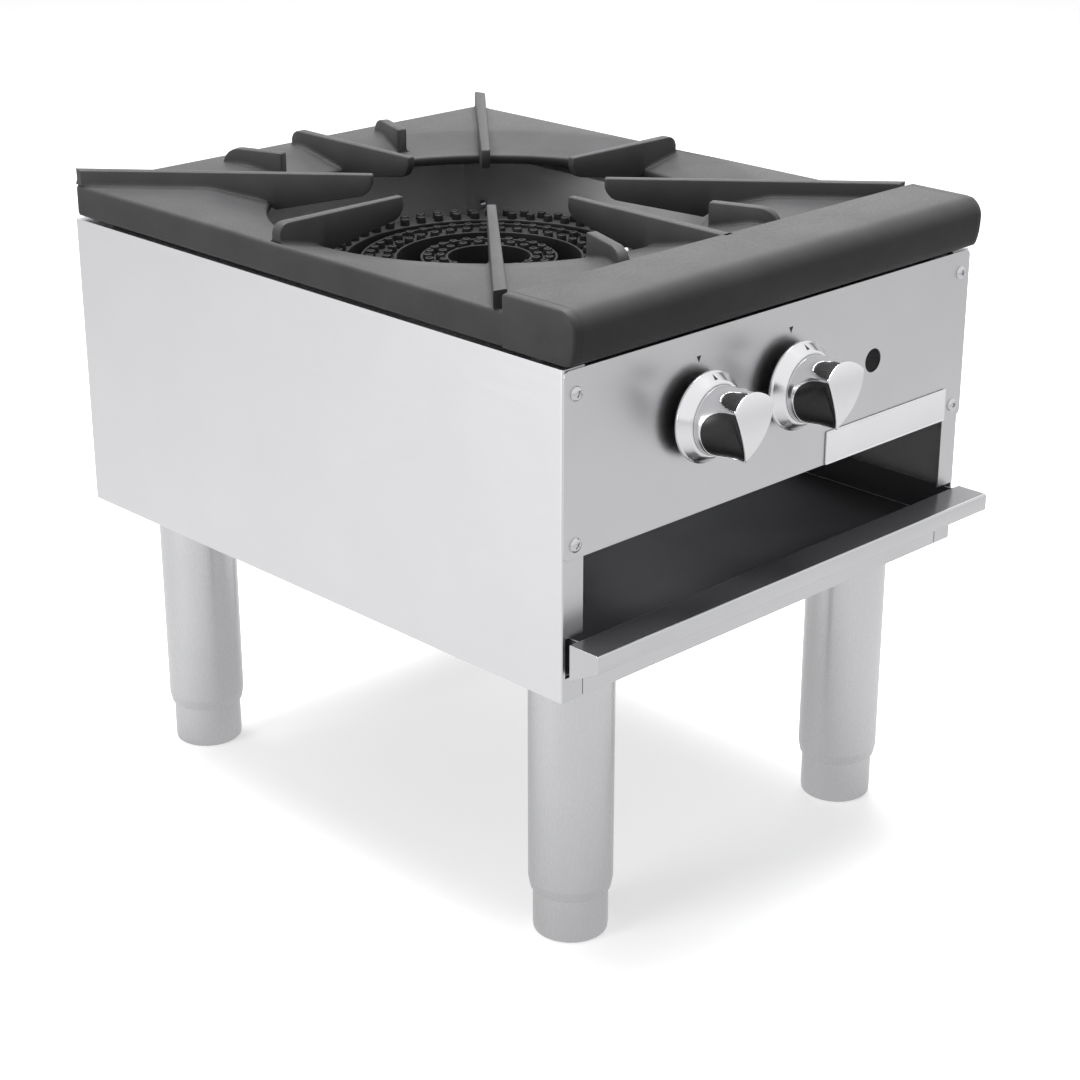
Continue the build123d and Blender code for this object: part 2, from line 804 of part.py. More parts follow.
# ---- burner castings --------------------------------------------------------------------------
def ring_rows(radii):
    """Radii of the two rows of ports on a burner ring."""
    quarter = (radii[1] - radii[0]) / 4
    return (radii[0] + quarter + 0.5, radii[1] - quarter - 0.5)


def burner_ring(radii, top, port_counts, rimmed):
    """Adds a hollow burner ring with two rows of raised, bored ports and, if rimmed, raised edges."""
    with BuildSketch(Plane.XY.offset(burner_base)) as outline:
        with Locations((0, burner_y)):
            Circle(radii[1])
            Circle(radii[0], mode=Mode.SUBTRACT)
    extrude(outline.sketch, amount=top - burner_base)
    if rimmed:
        with BuildSketch(Plane.XY.offset(top)) as rims:
            with Locations((0, burner_y)):
                for edge in (radii[1], radii[0] + rim_width):
                    Circle(edge)
                    Circle(edge - rim_width, mode=Mode.SUBTRACT)
        extrude(rims.sketch, amount=rim_height)
    with BuildSketch(Plane.XY.offset(top)) as bosses:
        with Locations((0, burner_y)):
            for row, count in zip(ring_rows(radii), port_counts):
                with PolarLocations(row, count):
                    Circle(port_boss_radius)
    extrude(bosses.sketch, amount=port_boss_height, taper=port_boss_taper)
    with BuildSketch(Plane.XY.offset(burner_base + ring_floor)) as passage:
        with Locations((0, burner_y)):
            Circle(radii[1] - ring_wall)
            Circle(radii[0] + ring_wall, mode=Mode.SUBTRACT)
    extrude(passage.sketch, amount=top - ring_roof - burner_base - ring_floor, mode=Mode.SUBTRACT)
    with BuildSketch(Plane.XY.offset(top + port_boss_height)) as bores:
        with Locations((0, burner_y)):
            for row, count in zip(ring_rows(radii), port_counts):
                with PolarLocations(row, count):
                    Circle(port_bore_radius)
    extrude(bores.sketch, amount=-(ring_roof + port_boss_height), mode=Mode.SUBTRACT)


outer_mixer_x = knob_places["left"]
inner_mixer_x = knob_places["right"]
outer_neck_y = burner_y - sqrt(outer_ring_mean**2 - outer_mixer_x**2)
outer_necks = [(outer_mixer_x, burner_y), (outer_mixer_x, outer_neck_y)]
inner_necks = [(inner_mixer_x, mixer_ends["right"])]

with BuildPart() as burner_outer_rings:
    burner_ring(middle_ring_radii, inner_ring_top, middle_port_counts, True)
    burner_ring(outer_ring_radii, outer_ring_top, outer_port_counts, False)
    with BuildSketch(Plane.XY.offset(burner_base + 2)):
        with Locations((0, burner_y)):
            with PolarLocations((middle_ring_radii[1] + outer_ring_radii[0]) / 2, 4, bridge_first_angle):
                Rectangle(outer_ring_radii[0] - middle_ring_radii[1] + 2, bridge_width)
    extrude(amount=bridge_height)
    post(outer_necks, neck_bore_radius - 1, (burner_base - 1, burner_base + ring_floor + 1),
         mode=Mode.SUBTRACT)
save(burner_outer_rings, "burner_outer_rings")

with BuildPart() as burner_inner_ring:
    burner_ring(inner_ring_radii, inner_ring_top, inner_port_counts, True)
    post(inner_necks, neck_bore_radius - 4, (burner_base - 1, burner_base + ring_floor + 1),
         mode=Mode.SUBTRACT)
save(burner_inner_ring, "burner_inner_ring")


# ---- mixer tubes and air shutters -------------------------------------------------------------
def mixer_tube(x, necks, closed_end):
    """Adds a mixer tube with a bell mouth, its necks and its bore."""
    bell_rear = mixer_front + mixer_bell_length
    cone_rear = bell_rear + mixer_cone_length
    axis_plane = Plane(origin=(x, 0, mixer_height), x_dir=(0, 1, 0), z_dir=(1, 0, 0))
    with BuildSketch(axis_plane) as outline:
        with BuildLine():
            Polyline(
                (mixer_front, 0),
                (mixer_front, mixer_bell_radius),
                (bell_rear, mixer_bell_radius),
                (cone_rear, mixer_outer_radius),
                (closed_end, mixer_outer_radius),
                (closed_end, 0),
                close=True,
            )
        make_face()
    revolve(outline.sketch, axis=Axis((x, 0, mixer_height), (0, 1, 0)))
    post(necks, neck_radius, (mixer_height, burner_base))
    bell_bore = mixer_bell_radius - ring_wall + 1
    with BuildSketch(axis_plane) as bore:
        with BuildLine():
            Polyline(
                (mixer_front + mixer_face_wall, 0),
                (mixer_front + mixer_face_wall, bell_bore),
                (bell_rear, bell_bore),
                (cone_rear, mixer_bore_radius),
                (closed_end - 4, mixer_bore_radius),
                (closed_end - 4, 0),
                close=True,
            )
        make_face()
    revolve(bore.sketch, axis=Axis((x, 0, mixer_height), (0, 1, 0)), mode=Mode.SUBTRACT)
    post(necks, neck_bore_radius, (mixer_height, burner_base + 1), mode=Mode.SUBTRACT)


def air_holes(x, y_start, thickness):
    """Cuts the spud hole and the ring of air holes through a face wall."""
    with BuildSketch(Plane.XZ.offset(-y_start)) as holes:
        with Locations((x, mixer_height)):
            Circle(spud_hole_radius)
            with PolarLocations(air_hole_circle, air_hole_count, 45):
                Circle(air_hole_radius)
    extrude(holes.sketch, amount=-thickness, mode=Mode.SUBTRACT)


for side, necks, closed_end in (
    ("left", outer_necks, burner_y + mixer_outer_radius),
    ("right", inner_necks, mixer_ends["right"] + mixer_outer_radius),
):
    mixer_x = knob_places[side]
    with BuildPart() as mixer:
        mixer_tube(mixer_x, necks, closed_end)
        air_holes(mixer_x, mixer_front - 1, mixer_face_wall + 2)
    save(mixer, f"mixer_tube_{side}")

    shutter_rear = mixer_front - shutter_gap
    shutter_front = shutter_rear - shutter_gauge
    shutter_bore = mixer_bell_radius + shutter_gap
    with BuildPart() as shutter:
        rod([(mixer_x, mixer_height)], shutter_bore + shutter_rim_wall,
            (shutter_front, shutter_rear + shutter_rim))
        rod([(mixer_x, mixer_height)], shutter_bore, (shutter_rear, shutter_rear + shutter_rim + 1),
            mode=Mode.SUBTRACT)
        air_holes(mixer_x, shutter_front - 1, shutter_gauge + 2)
    save(shutter, f"air_shutter_{side}")

# ---- manifold, supply pipe and rear inlet -----------------------------------------------------
manifold_axis = (manifold_y, manifold_height)
elbow_start = supply_x - elbow_arm
supply_start = manifold_y + elbow_arm
boss_rear = manifold_y

with BuildPart() as manifold_pipe:
    cross_bar([manifold_axis], pipe_radius, (manifold_left_end, elbow_start))
    rod([(x, manifold_height) for x in knob_places.values()], manifold_boss_radius, (valve_rear, boss_rear))
    cross_bar([manifold_axis], pipe_bore, (manifold_left_end - 1, elbow_start + 1), mode=Mode.SUBTRACT)
    rod([(x, manifold_height) for x in knob_places.values()], valve_port_radius, (valve_rear - 1, boss_rear),
        mode=Mode.SUBTRACT)
    post([(pilot_x, manifold_y)], pilot_port_radius, (manifold_height - pipe_radius - 1, manifold_height),
         mode=Mode.SUBTRACT)
save(manifold_pipe, "manifold_pipe")

with BuildPart() as manifold_plug:
    with BuildSketch(Plane.YZ.offset(manifold_left_end)):
        with Locations(manifold_axis):
            RegularPolygon(fitting_radius, 6)
    extrude(amount=-plug_length)
    cross_bar([manifold_axis], pipe_bore, (manifold_left_end, manifold_left_end + plug_spigot))
save(manifold_plug, "manifold_plug")

with BuildPart() as manifold_elbow:
    cross_bar([manifold_axis], fitting_radius, (elbow_start, supply_x))
    rod([(supply_x, manifold_height)], fitting_radius, (manifold_y, supply_start))
    with Locations((supply_x, manifold_y, manifold_height)):
        Sphere(fitting_radius)
    cross_bar([manifold_axis], pipe_bore, (elbow_start - 1, supply_x), mode=Mode.SUBTRACT)
    rod([(supply_x, manifold_height)], pipe_bore, (manifold_y, supply_start + 1), mode=Mode.SUBTRACT)
    with Locations((supply_x, manifold_y, manifold_height)):
        Sphere(pipe_bore, mode=Mode.SUBTRACT)
save(manifold_elbow, "manifold_elbow")

with BuildPart() as supply_pipe:
    rod([(supply_x, manifold_height)], pipe_radius, (supply_start, supply_end))
    rod([(supply_x, manifold_height)], pipe_bore, (supply_start - 1, supply_end + 1), mode=Mode.SUBTRACT)
save(supply_pipe, "supply_pipe")

coupling_front = half_depth - coupling_inset - coupling_length / 2

with BuildPart() as inlet_coupling:
    rod([(supply_x, manifold_height)], fitting_radius, (coupling_front, coupling_front + coupling_length))
    rod([(supply_x, manifold_height)], pipe_radius, (coupling_front - 1, coupling_front + coupling_length + 1),
        mode=Mode.SUBTRACT)
save(inlet_coupling, "inlet_coupling")

inlet_end = half_depth + inlet_projection

with BuildPart() as gas_inlet_nipple:
    rod([(supply_x, manifold_height)], pipe_radius, (nipple_start, inlet_end - thread_length))
    rod([(supply_x, manifold_height)], thread_radius, (inlet_end - thread_length, inlet_end))
    chamfer(gas_inlet_nipple.edges().group_by(Axis.Y)[-1], 1.0)
    rod([(supply_x, manifold_height)], pipe_bore, (nipple_start - 1, inlet_end + 1), mode=Mode.SUBTRACT)
save(gas_inlet_nipple, "gas_inlet_nipple")

with BuildPart() as manifold_brackets:
    for clamp_x in clamp_places:
        clamp_range = (clamp_x - clamp_width / 2, clamp_x + clamp_width / 2)
        cross_bar([manifold_axis], pipe_radius + clamp_wall, clamp_range)
        slab(clamp_range, (manifold_y, liner_front_face),
             (manifold_height - clamp_rib_height / 2, manifold_height + clamp_rib_height / 2))
        cross_bar([manifold_axis], pipe_radius, clamp_range, mode=Mode.SUBTRACT)
save(manifold_brackets, "manifold_brackets")

# ---- gas valves, stems and outlet hoods -------------------------------------------------------
for side, x in knob_places.items():
    with BuildPart() as valve:
        rod([(x, knob_height)], valve_body_radius, (valve_front, valve_rear))
        post([(x, valve_outlet_y)], valve_outlet_radius,
             (mixer_height - valve_outlet_radius, knob_height))
        rod([(x, mixer_height)], valve_outlet_radius, (valve_outlet_y, hood_front))
        rod([(x, knob_height)], stem_radius + stem_clearance, (valve_front - 1, valve_front + valve_bore_depth),
            mode=Mode.SUBTRACT)
    save(valve, f"gas_valve_{side}")

    stem_front = -(panel_face + stem_reach)
    with BuildPart() as stem:
        rod([(x, knob_height)], stem_radius, (stem_front, valve_front + valve_bore_depth - 1))
    save(stem, f"valve_stem_{side}")


with BuildPart() as orifice_hoods:
    rod(mixer_places.values(), hood_radius, (hood_front, hood_rear))
    chamfer(orifice_hoods.edges().group_by(Axis.Y)[-1], hood_chamfer)
    rod(mixer_places.values(), orifice_radius, (hood_rear - orifice_depth, hood_rear + 1), mode=Mode.SUBTRACT)
save(orifice_hoods, "orifice_hoods")


# ---- knobs ------------------------------------------------------------------------------------
def grip_section(plane, arc_radius, tip_radius, flank_radius):
    """A closed outline of three arcs: the top of the grip and its two flanks."""
    corner = radians(grip_corner_angle)
    flank = radians((grip_corner_angle - 90) / 2)
    right_corner = (arc_radius * cos(corner), arc_radius * sin(corner))
    left_corner = (-right_corner[0], right_corner[1])
    right_flank = (flank_radius * cos(flank), flank_radius * sin(flank))
    left_flank = (-right_flank[0], right_flank[1])
    with BuildSketch(plane) as outline:
        with BuildLine():
            ThreePointArc(right_corner, (0, arc_radius), left_corner)
            ThreePointArc(left_corner, left_flank, (0, -tip_radius))
            ThreePointArc((0, -tip_radius), right_flank, right_corner)
        make_face()
    return outline.sketch


def flank_distance(arc_radius, tip_radius, bulge):
    """Distance from the axis to the middle of a nearly straight flank."""
    corner = radians(grip_corner_angle)
    flank = radians((grip_corner_angle - 90) / 2)
    chord = (arc_radius * cos(corner), arc_radius * sin(corner) + tip_radius)
    cross = chord[0] * -tip_radius
    return -cross / (chord[1] * cos(flank) - chord[0] * sin(flank)) + bulge


def grip_solid(plane, inset):
    """The grip: round at the collar, pointed at the front, with a crowned face."""
    round_radius = hub_radius - inset
    arc_radius = grip_arc_radius - inset
    tip_radius = grip_tip_radius - inset * 2
    flank_radius = flank_distance(arc_radius, tip_radius, grip_flank_bulge)
    collar_level = skirt_top + collar_height
    grip_level = collar_level + grip_height
    full_outline = grip_section(plane.offset(grip_level), arc_radius, tip_radius, flank_radius)
    with BuildPart() as solid:
        loft([
            grip_section(plane.offset(collar_level), round_radius, round_radius, round_radius),
            full_outline,
        ])
        extrude(full_outline, amount=crown_room)
        crown_axis = plane.offset(crown_reach - inset - crown_radius)
        with BuildSketch(Plane(origin=crown_axis.origin, x_dir=(0, 0, 1), z_dir=(1, 0, 0))) as crown:
            with Locations((crown_axis_rise, 0)):
                Circle(crown_radius)
        extrude(crown.sketch, amount=crown_radius, both=True, mode=Mode.INTERSECT)
    return solid.part


def wedge(plane, middle_angle, half_angle, height):
    """A sector that reaches out from the axis of the knob."""
    reach = grip_arc_radius * 1.5
    low = radians(middle_angle - half_angle)
    high = radians(middle_angle + half_angle)
    with BuildSketch(plane) as sector:
        with BuildLine():
            Polyline((0, 0), (reach * cos(low), reach * sin(low)), (reach * cos(high), reach * sin(high)),
                     close=True)
        make_face()
    with BuildPart() as solid:
        extrude(sector.sketch, amount=height)
    return solid.part


skirt_bottom = knob_back_gap + knob_back_thickness
skirt_top = skirt_bottom + skirt_rim + skirt_rise

for side, x in knob_places.items():
    knob_plane = Plane(origin=(x, -panel_face, knob_height), x_dir=(1, 0, 0), z_dir=(0, -1, 0))
    knob_axis = Axis((x, 0, knob_height), (0, -1, 0))

    with BuildPart() as back_disc:
        with BuildSketch(knob_plane.offset(knob_back_gap)):
            Circle(knob_back_radius)
            Circle(stem_radius + stem_clearance, mode=Mode.SUBTRACT)
        extrude(amount=knob_back_thickness)
    save(back_disc, f"knob_{side}_back")

    with BuildPart() as skirt:
        with BuildSketch(Plane(origin=knob_plane.origin, x_dir=(1, 0, 0), z_dir=(0, 0, 1))):
            with BuildLine():
                Polyline(
                    (knob_boss_radius, -skirt_bottom),
                    (skirt_radius, -skirt_bottom),
                    (skirt_radius, -skirt_bottom - skirt_rim),
                    (hub_radius, -skirt_top),
                    (knob_boss_radius, -skirt_top),
                    close=True,
                )
            make_face()
        revolve(axis=knob_axis)
    save(skirt, f"knob_{side}_skirt")

    whole_grip = grip_solid(knob_plane, 0)
    inner_grip = grip_solid(knob_plane, shell_thickness)
    with BuildPart() as shell:
        add(whole_grip)
        add(inner_grip, mode=Mode.SUBTRACT)
        with BuildPart(mode=Mode.PRIVATE) as chrome_zones:
            add(wedge(knob_plane.offset(skirt_top), 90, bridge_angle, crown_reach))
            for ridge in (grip_corner_angle, 180 - grip_corner_angle):
                add(wedge(knob_plane.offset(skirt_top), ridge, ridge_angle, crown_reach))
            add(wedge(knob_plane.offset(skirt_top), -90, ridge_angle * 0.5, crown_reach))
            with BuildSketch(knob_plane.offset(crown_reach)):
                Rectangle(grip_arc_radius * 3, grip_arc_radius * 3)
            extrude(amount=-(shell_thickness + 1.0))
        add(chrome_zones.part, mode=Mode.INTERSECT)
        with BuildSketch(knob_plane.offset(skirt_top)):
            Circle(hub_radius)
            Circle(hub_radius - shell_thickness, mode=Mode.SUBTRACT)
        extrude(amount=collar_height)
    save(shell, f"knob_{side}_shell")

    with BuildPart() as core:
        add(whole_grip)
        with BuildSketch(knob_plane.offset(skirt_bottom)):
            Circle(knob_boss_radius)
        extrude(amount=skirt_top - skirt_bottom)
        with BuildSketch(knob_plane.offset(skirt_top)):
            Circle(hub_radius - shell_thickness)
        extrude(amount=collar_height)
        add(shell.part, mode=Mode.SUBTRACT)
        with BuildSketch(knob_plane.offset(skirt_bottom)):
            Circle(stem_radius + stem_clearance)
        extrude(amount=stem_reach - skirt_bottom, mode=Mode.SUBTRACT)
    save(core, f"knob_{side}_core")

# ---- pilot ------------------------------------------------------------------------------------
pilot_valve_bottom = manifold_height - pipe_radius - pilot_valve_length

with BuildPart() as pilot_valve:
    with BuildSketch(Plane.XY.offset(pilot_valve_bottom)):
        with Locations((pilot_x, manifold_y)):
            RegularPolygon(pilot_valve_radius, 6)
    extrude(amount=pilot_valve_length + pipe_radius / 2)
    cross_bar([manifold_axis], pipe_radius, (pilot_x - fitting_radius, pilot_x + fitting_radius),
              mode=Mode.SUBTRACT)
save(pilot_valve, "pilot_valve")

with BuildPart() as pilot_tube:
    with BuildLine():
        pilot_path = FilletPolyline(
            (pilot_x, manifold_y, pilot_valve_bottom),
            (pilot_x, manifold_y, pilot_run_height),
            (pilot_x, pilot_y, pilot_run_height),
            (pilot_x, pilot_y, pilot_tip_base),
            radius=pilot_bend_radius,
        )
    with BuildSketch(Plane(origin=pilot_path @ 0, z_dir=pilot_path % 0)):
        Circle(pilot_tube_radius)
        Circle(pilot_tube_radius - pilot_tube_wall, mode=Mode.SUBTRACT)
    sweep()
save(pilot_tube, "pilot_tube")

with BuildPart() as pilot_burner:
    post([(pilot_x, pilot_y)], pilot_tip_radius, (pilot_tip_base, pilot_tip_top))
    chamfer(pilot_burner.edges().group_by(Axis.Z)[-1], *pilot_cap_chamfer)
save(pilot_burner, "pilot_burner")

# ---- top grate --------------------------------------------------------------------------------
slope_angle_drop = slope_drop / (slope_outer_radius - opening_radius)


def slope_level(radius):
    """Height of the sloped rim at a distance from the burner's axis."""
    return rim_top - (slope_outer_radius - radius) * slope_angle_drop


def long_rib(reach, rounded):
    """A rib along +X from the burner's axis, deep at the root and shallow at the tip."""
    foot_level = rim_top - grate_wall + 1
    with BuildSketch(Plane.XY.offset(grate_bottom)) as plan:
        with BuildLine():
            Polyline(
                (rib_inner_radius, -rib_tip_width / 2),
                (reach, -rib_root_width / 2),
                (reach, rib_root_width / 2),
                (rib_inner_radius, rib_tip_width / 2),
                close=True,
            )
        make_face()
    with BuildSketch(Plane.XZ) as side_view:
        with BuildLine():
            Polyline(
                (rib_inner_radius, rib_top),
                (rib_inner_radius, rib_top - rib_tip_height - rib_tip_rounding),
                (opening_radius, rib_top - rib_depth_at_opening),
                (reach, foot_level),
                (reach, rib_top),
                close=True,
            )
        make_face()
        fillet(side_view.vertices().group_by(Axis.X)[0].sort_by(Axis.Y)[0], rib_tip_rounding)
        if rounded:
            fillet(side_view.vertices().group_by(Axis.X)[-1].sort_by(Axis.Y)[-1], rib_end_rounding)
    with BuildPart() as rib:
        extrude(plan.sketch, amount=rib_top - grate_bottom)
        extrude(side_view.sketch, amount=rib_root_width, both=True, mode=Mode.INTERSECT)
    return rib.part


def short_rib():
    """A short rib along +X that stands on the sloped rim only."""
    foot_level = slope_level(short_rib_inner) - 3
    with BuildSketch(Plane.XZ) as side_view:
        with BuildLine():
            Polyline(
                (short_rib_inner, foot_level),
                (short_rib_inner, rib_top),
                (short_rib_outer, rib_top),
                (short_rib_outer, rim_top - 2),
                close=True,
            )
        make_face()
        fillet(side_view.vertices().group_by(Axis.X)[-1].sort_by(Axis.Y)[-1], short_rib_rounding)
    with BuildPart() as rib:
        extrude(side_view.sketch, amount=short_rib_width / 2, both=True)
    return rib.part


corner_reach = half_width / cos(radians(corner_rib_angle))
rib_layout = [
    (0, mid_rib_reach, True),
    (180, mid_rib_reach, True),
    (90, rear_rib_reach, True),
    (-90, front_rib_reach, False),
    (corner_rib_angle, corner_reach, False),
    (180 - corner_rib_angle, corner_reach, False),
    (180 + corner_rib_angle, corner_reach, False),
    (-corner_rib_angle, corner_reach, False),
]
long_ribs = [(angle, long_rib(reach, rounded)) for angle, reach, rounded in rib_layout]
short_ribs = [
    (middle + side * short_rib_angle, short_rib()) for middle in (90, -90) for side in (-1, 1)
]
underside = rim_top - grate_wall

with BuildPart() as top_grate:
    # skirt wall and flat rim
    slab((-half_width, half_width), (rail_rear, grate_rear), (grate_bottom, rim_top))
    slab(
        (-half_width + grate_wall, half_width - grate_wall),
        (rail_rear, grate_rear - grate_wall),
        (grate_bottom, underside),
        mode=Mode.SUBTRACT,
    )
    with BuildSketch(Plane.XY.offset(underside)):
        with Locations((0, burner_y)):
            Circle(slope_outer_radius)
    extrude(amount=grate_wall, mode=Mode.SUBTRACT)
    # sloped rim down to the round opening
    with BuildPart(mode=Mode.PRIVATE) as slope:
        with BuildSketch(Plane(origin=(0, burner_y, 0), x_dir=(1, 0, 0), z_dir=(0, -1, 0))):
            with BuildLine():
                Polyline(
                    (opening_radius, rim_top - slope_drop),
                    (slope_outer_radius, rim_top),
                    (slope_outer_radius, underside),
                    (opening_radius, underside - slope_drop),
                    close=True,
                )
            make_face()
        revolve(axis=Axis((0, burner_y, 0), (0, 0, 1)))
        slab((-half_width, half_width), (rail_rear, grate_rear), (grate_bottom, rim_top), mode=Mode.INTERSECT)
    add(slope.part)
    rear_corners = top_grate.edges().filter_by(Axis.Z).group_by(Axis.Y)[-1]
    fillet(rear_corners, grate_corner_radius)
    # bullnose front rail
    with BuildSketch(Plane.YZ.offset(-half_width)):
        with BuildLine():
            nose_start = (rail_front + rail_nose_depth, rib_top)
            nose_front = (rail_front, rib_top - rail_nose_height)
            Polyline(nose_start, (rail_rear, rib_top), (rail_rear, grate_bottom),
                     (rail_front + rail_toe, grate_bottom))
            ThreePointArc(
                (rail_front + rail_toe, grate_bottom),
                (rail_front + rail_chin_set_back, (grate_bottom + nose_front[1]) / 2),
                nose_front,
            )
            ThreePointArc(
                nose_front,
                (rail_front + rail_nose_fullness * rail_nose_depth,
                 rib_top - rail_nose_fullness * rail_nose_height),
                nose_start,
            )
        make_face()
    extrude(amount=body_width)
    slab(
        (-half_width + grate_wall, half_width - grate_wall),
        (rail_front + grate_wall + rail_toe, rail_rear - grate_wall),
        (grate_bottom, rib_top - grate_wall - 3),
        mode=Mode.SUBTRACT,
    )
    # ribs
    for angle, rib in long_ribs + short_ribs:
        with Locations(Location((0, burner_y, 0), (0, 0, angle))):
            add(rib)
    slab((-half_width, half_width), (rail_front, grate_rear), (grate_bottom, rib_top), mode=Mode.INTERSECT)
    # lugs that rest on the top flanges of the side panels
    for side in (-1, 1):
        for lug_y in (lug_front_y, lug_rear_y):
            slab(
                (side * lug_x - lug_size / 2, side * lug_x + lug_size / 2),
                (lug_y - lug_size / 2, lug_y + lug_size / 2),
                (body_top, underside + 1),
            )
save(top_grate, "top_grate")
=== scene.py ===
"""Looks of a gas stock pot range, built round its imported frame.

Sizes are written in millimetres and become metres when a mesh is made. The range stands on z = 0,
the knobs face -Y and the pot stands over the burner's axis at y = 28.
"""
import logging
import math
from collections.abc import Callable
from dataclasses import dataclass
from enum import Enum
from functools import cache
from typing import ClassVar

import bmesh
import bpy
from mathutils import Euler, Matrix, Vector


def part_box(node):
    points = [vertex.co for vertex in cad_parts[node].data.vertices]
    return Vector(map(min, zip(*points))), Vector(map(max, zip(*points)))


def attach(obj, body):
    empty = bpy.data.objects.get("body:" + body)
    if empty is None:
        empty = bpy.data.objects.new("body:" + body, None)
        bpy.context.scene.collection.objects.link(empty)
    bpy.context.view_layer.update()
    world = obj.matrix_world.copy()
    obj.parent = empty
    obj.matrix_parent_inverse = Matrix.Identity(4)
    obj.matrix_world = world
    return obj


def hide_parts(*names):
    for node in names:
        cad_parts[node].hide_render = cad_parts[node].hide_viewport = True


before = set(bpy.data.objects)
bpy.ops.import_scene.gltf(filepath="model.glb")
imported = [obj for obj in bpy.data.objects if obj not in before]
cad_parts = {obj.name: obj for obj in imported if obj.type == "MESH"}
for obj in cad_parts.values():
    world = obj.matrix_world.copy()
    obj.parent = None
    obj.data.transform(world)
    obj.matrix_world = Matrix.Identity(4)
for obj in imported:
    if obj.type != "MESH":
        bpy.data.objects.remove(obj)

Flat = tuple[float, float]
Point = tuple[float, float, float]
Corner = tuple[float, float, float]  # a, b and the radius of the rounding
Node, Socket, Tree = bpy.types.Node, bpy.types.NodeSocket, bpy.types.NodeTree
Mesh, Piece = bpy.types.Mesh, bpy.types.Object

MM = 0.001
KNOB_X = {"left": -93.0, "right": 8.6}
KNOB_Z = 419.5
PANEL_FACE = 289.5
BURNER_Y = 28.0
LEG_PLACES = {"front_left": (-162.7, -232.7), "front_right": (162.7, -232.7),
              "rear_left": (-162.7, 232.7), "rear_right": (162.7, 232.7)}
log = logging.getLogger("stock_pot_range")


class Turn(Enum):
    """The axis that a turned piece is made round."""

    UP = "up"
    FRONT = "front"


class RibEnd(Enum):
    """How the outer end of a grate rib stops."""

    ROUNDED = "rounded"
    BUTTED = "butted"
    CORNER = "corner"


class Grain(Enum):
    """The way the belt ran when a sheet was ground, as stretch factors of the pattern."""

    ALONG_X = (0.03, 1.0, 1.0)
    ALONG_Y = (1.0, 0.03, 1.0)
    ALONG_Z = (1.0, 1.0, 0.03)
    NONE = (1.0, 1.0, 1.0)


# ---- colours and nodes ------------------------------------------------------------------------


def linear(hex_colour: str) -> tuple[float, float, float, float]:
    """Turns an sRGB hex colour to linear light.

    Args:
        hex_colour: a colour such as "#C4C4C6".

    Returns:
        Red, green, blue and an alpha of 1.
    """
    parts = [int(hex_colour[i : i + 2], 16) / 255 for i in (1, 3, 5)]
    light = [c / 12.92 if c <= 0.04045 else ((c + 0.055) / 1.055) ** 2.4 for c in parts]
    return (light[0], light[1], light[2], 1.0)


def add_node(tree: Tree, kind: str, inputs: dict | None = None, **settings: object) -> Node:
    """Adds a node, sets its properties and sets or links its sockets.

    Args:
        tree: the node tree.
        kind: the node's type name.
        inputs: socket name or index to a value, or to an output socket to link from.
        settings: properties of the node.

    Returns:
        The new node.
    """
    node = tree.nodes.new(kind)
    for name, value in settings.items():
        setattr(node, name, value)
    for key, value in (inputs or {}).items():
        if isinstance(value, Socket):
            tree.links.new(value, node.inputs[key])
        else:
            node.inputs[key].default_value = value
    return node


def start_material(name: str) -> tuple[bpy.types.Material, Tree]:
    """Makes an empty node material.

    Args:
        name: the finish's name.

    Returns:
        The material and its tree.
    """
    material = bpy.data.materials.new(name)
    material.use_nodes = True
    material.node_tree.nodes.clear()
    return material, material.node_tree


def speckle(tree: Tree, size_mm: float, grain: Grain = Grain.NONE, detail: float = 3.0) -> Socket:
    """Adds a noise pattern of a real size.

    Args:
        tree: the material's tree.
        size_mm: the size of one grain.
        grain: the direction that the pattern is stretched in.
        detail: finer grains within each grain.

    Returns:
        The pattern, from 0 to 1.
    """
    place = add_node(tree, "ShaderNodeTexCoord").outputs["Object"]
    stretched = add_node(tree, "ShaderNodeMapping", {"Vector": place, "Scale": grain.value})
    noise = add_node(tree, "ShaderNodeTexNoise", {"Vector": stretched.outputs[0], "Scale": 1000.0 / size_mm,
                                                  "Detail": detail, "Roughness": 0.55})
    return noise.outputs[0]


def spread(tree: Tree, pattern: Socket, low: float, high: float) -> Socket:
    """Maps a pattern's middle range to two values.

    Args:
        tree: the material's tree.
        pattern: a pattern from 0 to 1, which lies mostly between 0.3 and 0.7.
        low: the value at 0.3 and below.
        high: the value at 0.7 and above.

    Returns:
        The mapped pattern.
    """
    ranged = add_node(tree, "ShaderNodeMapRange", {"Value": pattern, "From Min": 0.3, "From Max": 0.7,
                                                   "To Min": low, "To Max": high})
    return ranged.outputs[0]


def blend_colours(tree: Tree, share: Socket, first: str, second: str) -> Socket:
    """Blends two sRGB hex colours.

    Args:
        tree: the material's tree.
        share: 0 for the first colour, 1 for the second.
        first: a hex colour.
        second: a hex colour.

    Returns:
        The blended colour.
    """
    mixed = add_node(tree, "ShaderNodeMix", {"Factor": share, 6: linear(first), 7: linear(second)},
                     data_type="RGBA")
    return mixed.outputs[2]


def close_material(tree: Tree, sockets: dict, height: Socket, depth_mm: float) -> None:
    """Ends a material in its surface shader.

    Args:
        tree: the material's tree.
        sockets: values or links of the surface shader.
        height: the relief's pattern.
        depth_mm: how deep the relief is.
    """
    relief = add_node(tree, "ShaderNodeBump", {"Height": height, "Distance": depth_mm * MM, "Strength": 1.0})
    surface = add_node(tree, "ShaderNodeBsdfPrincipled", {**sockets, "Normal": relief.outputs[0]})
    add_node(tree, "ShaderNodeOutputMaterial", {"Surface": surface.outputs[0]})


# ---- finishes ---------------------------------------------------------------------------------


